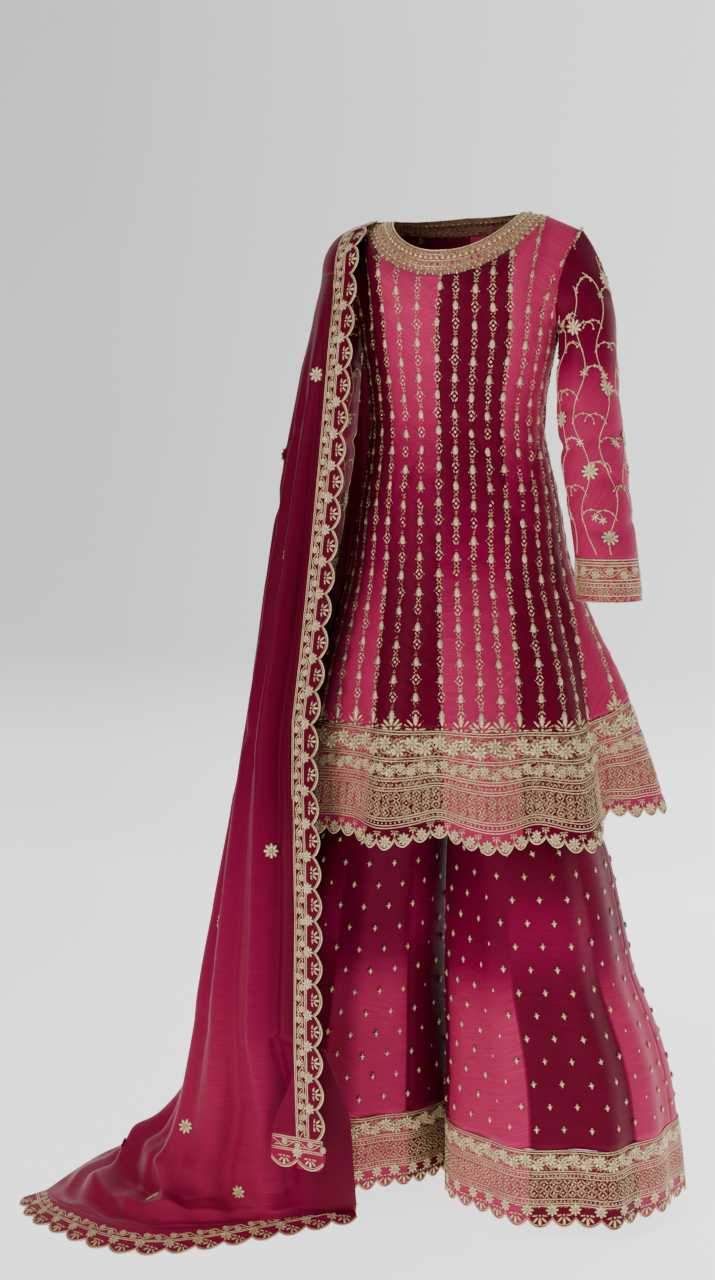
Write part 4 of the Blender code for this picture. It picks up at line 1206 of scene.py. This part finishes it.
def legDye(side, angle, height):
    # panels by turns: one dyed wine to pink, the next plum with a lighter patch
    seams = sharara[side + "Seams"]
    turn = (angle - seams[0]) % 360.0 + seams[0]
    index = max(i for i, seam in enumerate(seams[:-1]) if seam <= turn)
    if index % 2 == sharara[side + "Pink"]:
        return mix(0.16, 0.86, ease((0.47 - height) / 0.16))
    return 0.07 + 0.36 * math.exp(-((height - 0.455) / 0.055) ** 2)


for side in ("right", "left"):
    count = sharara["columns"]
    name = side.capitalize()
    centerX, centerY = sharara[side][-1][1:3]
    out = fromAxis(centerX, centerY)
    for half, (first, last) in {"Front": (-90.0, 90.0), "Back": (90.0, 270.0)}.items():
        legAngles = steps(first, last, count // 2)
        rows = [[legPoint(side, angle, height) for angle in legAngles]
                for height in steps(sharara["crotch"], sharara["borderTop"], sharara["rows"])]
        heights = np.array([[point.z + neckHeight for point in row] for row in rows])
        seamAway = np.array([min(abs((angle - seam + 180.0) % 360.0 - 180.0) for seam in sharara[side + "Seams"])
                             for angle in legAngles])
        dip = -0.0022 * np.exp(-(seamAway / 2.2) ** 2)
        ripple = 0.0020 * np.sin(np.radians(np.array(legAngles)) * 9.0 + 1.3) * np.sin(np.radians(np.array(legAngles)) * 4.0)
        grow = np.clip((0.70 - heights) / 0.3, 0.0, 1.0)
        relief = (dip + ripple)[None, :] * grow
        dye = [[legDye(side, angle % 360.0 if angle > 180.0 else angle, point.z + neckHeight)
                for angle, point in zip(legAngles, row)] for row in rows]
        leg = makeSheet("leg" + name + half, rows, shararaSilk, dye, out, relief=relief)
        declare(leg, "sharara_leg_%s_%s" % (side, half.lower()))

    legDown = lambda u, v, side=side: legPoint(side, 360.0 * (u % 1.0), sharara["borderTop"] - v)
    count = sharara["scallops"] * 12
    depth = sharara["borderTop"] - sharara["hem"]
    rows = []
    for share in steps(0.0, 1.0, 10):
        row = []
        for i in range(count):
            edge = depth - scallop(i / 12.0 + 0.5, sharara["scallopDepth"])
            row.append(legDown(i / count, share * edge))
        rows.append(row)
    dye = [[legDye(side, 360.0 * i / count, 0.10) for i in range(count)] for _ in rows]
    legBorder = makeSheet("legBorder" + name, rows, shararaBorderSilk, dye, out, loop=True)
    declare(legBorder, "sharara_hem_border_" + side)
    strip = Strip(legDown, out, True)
    work = Embroidery("legBorderWork" + name, gold, "sharara_border")
    for distance in (0.0020, 0.0055, 0.0330, 0.0365, 0.0430, 0.0750, 0.0815, 0.0850):
        layCord(work, strip, distance, 0.0009, 0.007)
    layScroll(work, strip, 0.0190, 0.026, 0.0175)
    layBeads(work, strip, 0.0398, 0.0055)
    for distance in (0.0525, 0.0655):
        layLattice(work, strip, distance, 0.0138, 1.02)
    layBeads(work, strip, 0.0784, 0.0055)
    layScallops(work, strip, sharara["scallops"], depth, sharara["scallopDepth"], 0.028, start=0.5)
    work.finish()

    buttis = Embroidery("legDiamonds" + name, gold, "sharara_border")
    rowIndex = 0
    for height in np.arange(sharara["borderTop"] + 0.030, 0.70, 0.034):
        ring = [legPoint(side, angle, float(height)) for angle in steps(0.0, 360.0, 72)]
        count = max(8, round(lineLength(ring) / 0.041))
        for i in range(count):
            u = (i + 0.5 * (rowIndex % 2)) / count
            spot = spotOn(legDown, u % 1.0, sharara["borderTop"] - float(height), out)
            if abs(spot[0][0]) > 0.012 or height < 0.5:
                buttis.stamp(smallDiamond, spot, scale=1.4)
        rowIndex += 1
    buttis.finish()
print("sharara ready")

# Dupatta


def linesBetween(lines, count):
    between = []
    for start, end in zip(lines, lines[1:]):
        for i in range(count):
            between.append([mix(a, b, i / count) for a, b in zip(start, end)])
    return between + [lines[-1]]


def clothRows(lines, spans, first, width=None):
    rows = []
    for line in lines:
        far = lineLength(line) if width is None else width
        rows.append([along(line, distance) for distance in steps(first, far, spans)])
    return rows


def drapeDye(heights, low=0.10, high=0.95):
    share = np.clip((1.05 - heights) / 0.85, 0.0, 1.0)
    return low + (high - low) * share ** 1.4


def heightsOf(rows):
    return np.array([[point.z + neckHeight for point in row] for row in rows])


# the front fall and the train behind it are one cloth; the border and the flap cover its inner part above the floor
fallRows, trainRows, fallSpans = 84, 64, 100
fallHeights = steps(dupatta["top"], flapTop, fallRows)
bandSpans = 9
rows = []
for line in [drapeLine(height) for height in fallHeights] + [trainLine(share) for share in steps(0.0, 1.0, trainRows)[1:]]:
    row = [along(line, distance) for distance in steps(0.0, dupatta["band"], bandSpans)]
    row += [along(line, distance) for distance in steps(dupatta["band"], lineLength(line), fallSpans - bandSpans)[1:]]
    rows.append(row)
heights = heightsOf(rows)
u = np.tile(np.linspace(0.0, 1.0, fallSpans + 1), (len(rows), 1))
v = np.concatenate([np.linspace(0.0, 1.0, fallRows + 1), np.linspace(1.0, 2.0, trainRows + 1)[1:]])[:, None]
v = np.tile(v, (1, fallSpans + 1))
bandShare = bandSpans / fallSpans
grow = np.clip((1.40 - heights) / 0.45, 0.0, 1.0)
falling = np.clip((2.0 - v) / 0.5, 0.0, 1.0)
folds = np.zeros(u.shape)
for middle, spread, depth, drift in dupatta["folds"]:
    folds += depth * np.exp(-((u - middle - drift * (1.40 - heights)) / spread) ** 2)
folds *= grow * np.clip((v - 0.0) / 0.12, 0.0, 1.0) * np.where(v > 1.0, falling, 1.0)
for middle, spread, depth, drift in dupatta["trainFolds"]:
    wave = np.exp(-((u - middle - drift * (v - 1.0)) / spread) ** 2)
    folds += depth * wave * np.clip((v - 0.92) / 0.30, 0.0, 1.0) * np.clip((2.0 - v) / 0.22, 0.0, 1.0)
folds += creaseField(u, v, dupatta["creases"])
folds *= np.clip((u - bandShare) / 0.03, 0.0, 1.0) * np.clip((1.0 - u) / 0.03, 0.0, 1.0) * np.clip((2.0 - v) / 0.05, 0.0, 1.0)
drapeOut = lambda point: Vector((point.x + 0.12, point.y - 0.02, 0.9 * max(0.0, -1.36 - point.z)))
# behind the border, down to the flap's top, this cloth is left out, so that nothing lies double in front
hidden = lambda i, j: (i < fallRows) & (j < bandSpans)
# wine to rose dye down the cloth, with painted shade: it darkens towards the border, standing for the shadowed fold
# beside it
fallDyeAndShade = drapeDye(heights, 0.06, 0.98) * np.clip((u - 0.09) / 0.15, 0.06, 1.0)
fallGrid = np.array(rows)
fallGrid -= gridNormals(fallGrid, False) * folds[..., None]
dupattaFront = makeSheet("dupattaFront", fallGrid, dupattaSilk, fallDyeAndShade, drapeOut, open=hidden)
declare(dupattaFront, ["dupatta_front_fall", "dupatta_train"])

rows = clothRows([shoulderLine(turn) for turn in steps(0.0, 1.0, 40)], 24, dupatta["band"])
heights = heightsOf(rows)
dupattaShoulder = makeSheet("dupattaShoulder", rows, dupattaSilk, drapeDye(heights, 0.06, 0.98),
                            lambda point: Vector((point.x + 0.10, point.y, 0.35)))
declare(dupattaShoulder, "dupatta_shoulder")

rows = clothRows([backLine(height) for height in steps(dupatta["top"], dupatta["backEnd"], 70)], 40, dupatta["band"])
heights = heightsOf(rows)
u = np.tile(np.linspace(0.0, 1.0, 41), (len(rows), 1))
grow = np.clip((1.38 - heights) / 0.4, 0.0, 1.0)
folds = 0.006 * np.sin(u * 17.0 + heights * 1.5) * np.clip(u / 0.1, 0.0, 1.0)
backOut = lambda point: Vector((point.x + 0.05, 1.0, 0.0))
dupattaBack = makeSheet("dupattaBack", rows, dupattaSilk, drapeDye(heights, 0.06, 0.4), backOut, relief=folds * grow)
declare(dupattaBack, "dupatta_back_fall")


def flapWidthAt(share):
    # the flap opens from behind the band towards its end
    full = dupatta["flapWidth"] + dupatta["flapSpread"] * share
    return mix(dupatta["band"] + 0.001, full, ease((share - 0.15) / 0.65))


flapRows = 40
flapLines = [drapeLine(height) for height in steps(flapTop, dupatta["bottom"], flapRows)]
rows = []
for i, line in enumerate(flapLines):
    row = [along(line, distance) for distance in steps(dupatta["band"], flapWidthAt(i / flapRows), 24)]
    for j, point in enumerate(row):
        point.z += scallop(j / 24.0, dupatta["scallopDepth"]) * i / flapRows
    rows.append(row)
flapOut = lambda point: Vector((-0.3, -1.0, 0.0))
endTop = dupatta["bottom"] + 0.048
flapHeights = heightsOf(rows)
# the end border keeps its pink dye; above it the cloth's dye is cut to a third, painted shade of the fold
flapDyeAndShade = np.where(flapHeights < endTop, 0.92, drapeDye(flapHeights, 0.06, 0.98) * 0.3)
dupattaFlap = makeSheet("dupattaFlap", rows, dupattaSilk, flapDyeAndShade, flapOut)
declare(dupattaFlap, "dupatta_front_flap")


def borderSheet(name, lines, node, dye, outward):
    rows = []
    for i, line in enumerate(lines):
        start = scallop(i / 12.0, dupatta["scallopDepth"])
        rows.append([along(line, distance) for distance in steps(start, dupatta["band"], 6)])
    piece = makeSheet(name, rows, dupattaSilk, [[dye(row[-1].z + neckHeight)] * 7 for row in rows], outward)
    declare(piece, node)


def borderStripOf(lines, outward):
    def surface(u, v):
        position = min(max(u, 0.0), 1.0) * (len(lines) - 1)
        index = min(int(position), len(lines) - 2)
        distance = dupatta["band"] - v
        start = along(lines[index], distance) if distance >= 0.0 else lines[index][0]
        end = along(lines[index + 1], distance) if distance >= 0.0 else lines[index + 1][0]
        if u > 1.0:
            return end + (end - start) * (u - 1.0) * (len(lines) - 1)
        return mix(start, end, position - index)
    return Strip(surface, outward, False)


def dressEdge(name, lines, scallops, outward):
    strip = borderStripOf(lines, outward)
    work = Embroidery(name, gold, "dupatta_border")
    for distance in (0.0012, 0.0036, 0.0186, 0.0212):
        layCord(work, strip, distance, 0.0008, 0.010)
    layScroll(work, strip, 0.0112, 0.0145, 0.0165)
    layScallops(work, strip, scallops, dupatta["band"], dupatta["scallopDepth"], 0.025)
    work.finish()


bandDye = lambda height: 0.92 if height < endTop else 0.06 + 0.10 * ease((0.5 - height) / 0.4)
frontLines = [drapeLine(height) for height in steps(dupatta["top"], dupatta["bottom"], dupatta["spans"])]
frontFine = linesBetween(frontLines, 24)
borderSheet("dupattaBorderFront", frontFine, "dupatta_border_front", bandDye, flapOut)
# the edge's work stops above the dressed end
dressEdge("dupattaEdgeFront", frontFine[:round(len(frontFine) * 27 / 28)], 27, flapOut)
overLines = linesBetween([shoulderLine(turn) for turn in steps(0.0, 1.0, 9)], 8)
downLines = linesBetween([backLine(height) for height in steps(dupatta["top"], dupatta["backEnd"], 8)], 24)
behindOut = lambda point: Vector((0.0, 1.0, 0.0))
overOut = lambda point: Vector((0.0, point.y, 0.15))
borderSheet("dupattaBorderBack", overLines[:-1] + downLines, "dupatta_border_back", bandDye,
            lambda point: overOut(point) if point.z > -0.07 else behindOut(point))
dressEdge("dupattaEdgeOver", overLines, 6, overOut)
dressEdge("dupattaEdgeBack", downLines, 16, behindOut)

# the scalloped end lies on the floor
inner = trainLine(1.0)
outer = [smoothLine([place(*point) for point in dupatta["trainEnd"]], across) for across in steps(0.0, 1.0, 40)]
trainScallops = round(lineLength(outer) / dupatta["trainPitch"])
trainOut = lambda point: Vector((0.0, -0.5, 1.0))


def trainEdge(share):
    # the two ends of the floor border at a share of its length
    start = along(inner, lineLength(inner) * share)
    return start, along(outer, lineLength(outer) * share) + Vector((0.0, 0.0, 0.0018))


rows = []
for i in range(trainScallops * 12 + 1):
    start, end = trainEdge(i / (trainScallops * 12))
    stop = 1.0 - scallop(i / 12.0, dupatta["scallopDepth"]) / (end - start).length
    rows.append([mix(start, end, stop * part) for part in steps(0.0, 1.0, 10)])
trainEnd = makeSheet("dupattaTrainEnd", rows, dupattaSilk, [[0.95] * 11 for _ in rows], trainOut)
declare(trainEnd, "dupatta_train_end")


def trainSurface(u, v):
    # v is a distance up from the outer edge line
    start, end = trainEdge(min(max(u, 0.0), 1.0))
    point = mix(end, start, -v / (end - start).length)
    return point + (Vector((-1e-4, 0.0, 0.0)) if u > 1.0 else Vector())


trainStrip = Strip(trainSurface, trainOut, False)
trainWork = Embroidery("dupattaEdgeTrain", gold, "dupatta_border")
for distance in (0.0290, 0.0320):
    layCord(trainWork, trainStrip, -distance, 0.0009, 0.010)
layScallops(trainWork, trainStrip, trainScallops, 0.0, dupatta["scallopDepth"], 0.026)
layScroll(trainWork, trainStrip, -0.0400, 0.014, 0.020)
trainWork.finish()

# the flap's end: a scroll strip and one scallop with its cord edge
def flapSurface(u, v):
    # u runs from the band to the flap's outer edge, v down from 48 mm above its end
    share = min(max(1.0 - (0.048 - v) / (flapTop - dupatta["bottom"]), 0.0), 1.1)
    height = mix(flapTop, dupatta["bottom"], share)
    return along(drapeLine(height), mix(0.004, flapWidthAt(share) - 0.001, u))


flapStrip = Strip(flapSurface, flapOut, False)
flapWork = Embroidery("dupattaEdgeFlap", gold, "dupatta_border")
for distance in (0.0012, 0.0040, 0.0190, 0.0216):
    layCord(flapWork, flapStrip, distance, 0.0009, 0.006)
layScroll(flapWork, flapStrip, 0.0115, 0.0145, 0.0165)
layScallops(flapWork, flapStrip, 2, 0.048, dupatta["scallopDepth"], 0.025)
flapWork.finish()

# flowers strewn over the dupatta
butiWork = Embroidery("dupattaFlowers", gold, "dupatta_border")
for across, down in dupatta["flowers"]:
    i = int(down * fallRows) if down < 1.0 else fallRows + int((down - 1.0) * trainRows)
    j = int(across * fallSpans)
    here, below, beside = [Vector(fallGrid[a, b]) for a, b in ((i, j), (i + 1, j), (i, j + 1))]
    up = (here - below).normalized()
    out = (beside - here).cross(up).normalized()
    out = out if out.dot(drapeOut(here)) > 0.0 else -out
    butiWork.stamp(flower, tuple(np.array(part) for part in (here, up.cross(out), up, out)), scale=1.15)
butiWork.finish()
print("dupatta ready")


# Stage, lights and camera

def buildStage():
    shader = Shader("stagePaint", 0.85)
    place3 = shader.add("ShaderNodeTexCoord", {}, {}, output=3)
    cloud = shader.add("ShaderNodeTexNoise", {}, {"Vector": place3, "Scale": 1.2, "Detail": 1.0})
    shader.feed("Base Color", shader.mixColor(cloud, colors["floor"], (0.72, 0.735, 0.755)))
    # the room glows: more on the floor, and on the wall towards the right
    axes = shader.add("ShaderNodeSeparateXYZ", {}, [place3])
    height = shader.add("ShaderNodeSeparateXYZ", {}, [place3], output=2)
    onFloor = shader.add("ShaderNodeMapRange", {}, {"Value": height, "From Min": -1.50, "From Max": -0.95,
                                                    "To Min": 1.0, "To Max": 0.0})
    sideways = shader.add("ShaderNodeMapRange", {}, {"Value": axes, "From Min": -1.6, "From Max": 0.6})
    glow = onFloor * 0.50 + sideways * 0.34 + 0.06
    shader.feed("Emission Color", shader.add("ShaderNodeCombineColor", {}, [glow, glow, glow]))
    shader.surface.inputs["Emission Strength"].default_value = 2.2
    bpy.ops.object.select_all(action="DESELECT")
    floorZ = cadBox[0][2] - 0.0005
    bpy.ops.mesh.primitive_plane_add(size=2.0, location=(0.0, 0.0, floorZ))
    floor = bpy.context.object
    floor.name = "stageFloor"
    bpy.ops.object.mode_set(mode="EDIT")
    bpy.ops.transform.resize(value=(6.0, 4.0, 1.0), center_override=(0.0, 0.0, floorZ))
    bpy.ops.transform.translate(value=(0.0, -1.9, 0.0))
    bpy.ops.object.mode_set(mode="OBJECT")
    bpy.ops.object.transform_apply(location=True, rotation=True, scale=True)
    floor.data.materials.append(shader.material)
    # the far edge turns up into the wall
    bpy.ops.object.mode_set(mode="EDIT")
    bpy.ops.mesh.select_all(action="DESELECT")
    bpy.ops.object.mode_set(mode="OBJECT")
    for edge in floor.data.edges:
        ends = [floor.data.vertices[index].co for index in edge.vertices]
        edge.select = all(end.y > 2.0 for end in ends)
    bpy.ops.object.mode_set(mode="EDIT")
    for i in range(8):
        bend = math.radians(90.0 * (i + 0.5) / 8)
        bpy.ops.mesh.extrude_region_move(TRANSFORM_OT_translate={
            "value": (0.0, 0.05 * math.cos(bend), 0.05 * math.sin(bend))})
    bpy.ops.mesh.extrude_region_move(TRANSFORM_OT_translate={"value": (0.0, 0.0, 5.0)})
    bpy.ops.mesh.select_all(action="SELECT")
    bpy.ops.mesh.normals_make_consistent(inside=True)
    bpy.ops.object.mode_set(mode="OBJECT")
    floor.data.shade_smooth()


def addLight(name, place, target, size, power, color=(1.0, 1.0, 1.0)):
    data = bpy.data.lights.new(name, "AREA")
    data.size = size
    data.energy = power
    data.color = color
    light = bpy.data.objects.new(name, data)
    light.location = place
    light.rotation_euler = (Vector(target) - Vector(place)).to_track_quat("-Z", "Y").to_euler()
    bpy.context.scene.collection.objects.link(light)


buildStage()
addLight("keyLight", (-2.2, -3.6, 1.5), (0.0, 0.0, -0.6), 1.8, 105.0, (1.0, 0.985, 0.96))
addLight("fillLight", (3.0, -2.6, 1.0), (0.0, 0.0, -0.7), 1.6, 26.0, (0.96, 0.98, 1.0))
addLight("topLight", (0.0, 0.4, 2.2), (0.0, 0.2, -1.0), 3.0, 22.0)
world = bpy.data.worlds.new("room")
world.use_nodes = True
world.node_tree.nodes["Background"].inputs["Color"].default_value = (0.92, 0.95, 1.0, 1.0)
world.node_tree.nodes["Background"].inputs["Strength"].default_value = 0.10
bpy.context.scene.world = world

view = {"place": (0.709, -3.069, 1.210), "target": (-0.146, -0.034, 0.873), "lens": 58.6}
cameraData = bpy.data.cameras.new("camera")
cameraData.lens = view["lens"]
cameraData.sensor_width = 36.0
camera = bpy.data.objects.new("camera", cameraData)
camera.location = place(*view["place"])
camera.rotation_euler = (place(*view["target"]) - camera.location).to_track_quat("-Z", "Y").to_euler()
bpy.context.scene.collection.objects.link(camera)
bpy.context.scene.camera = camera
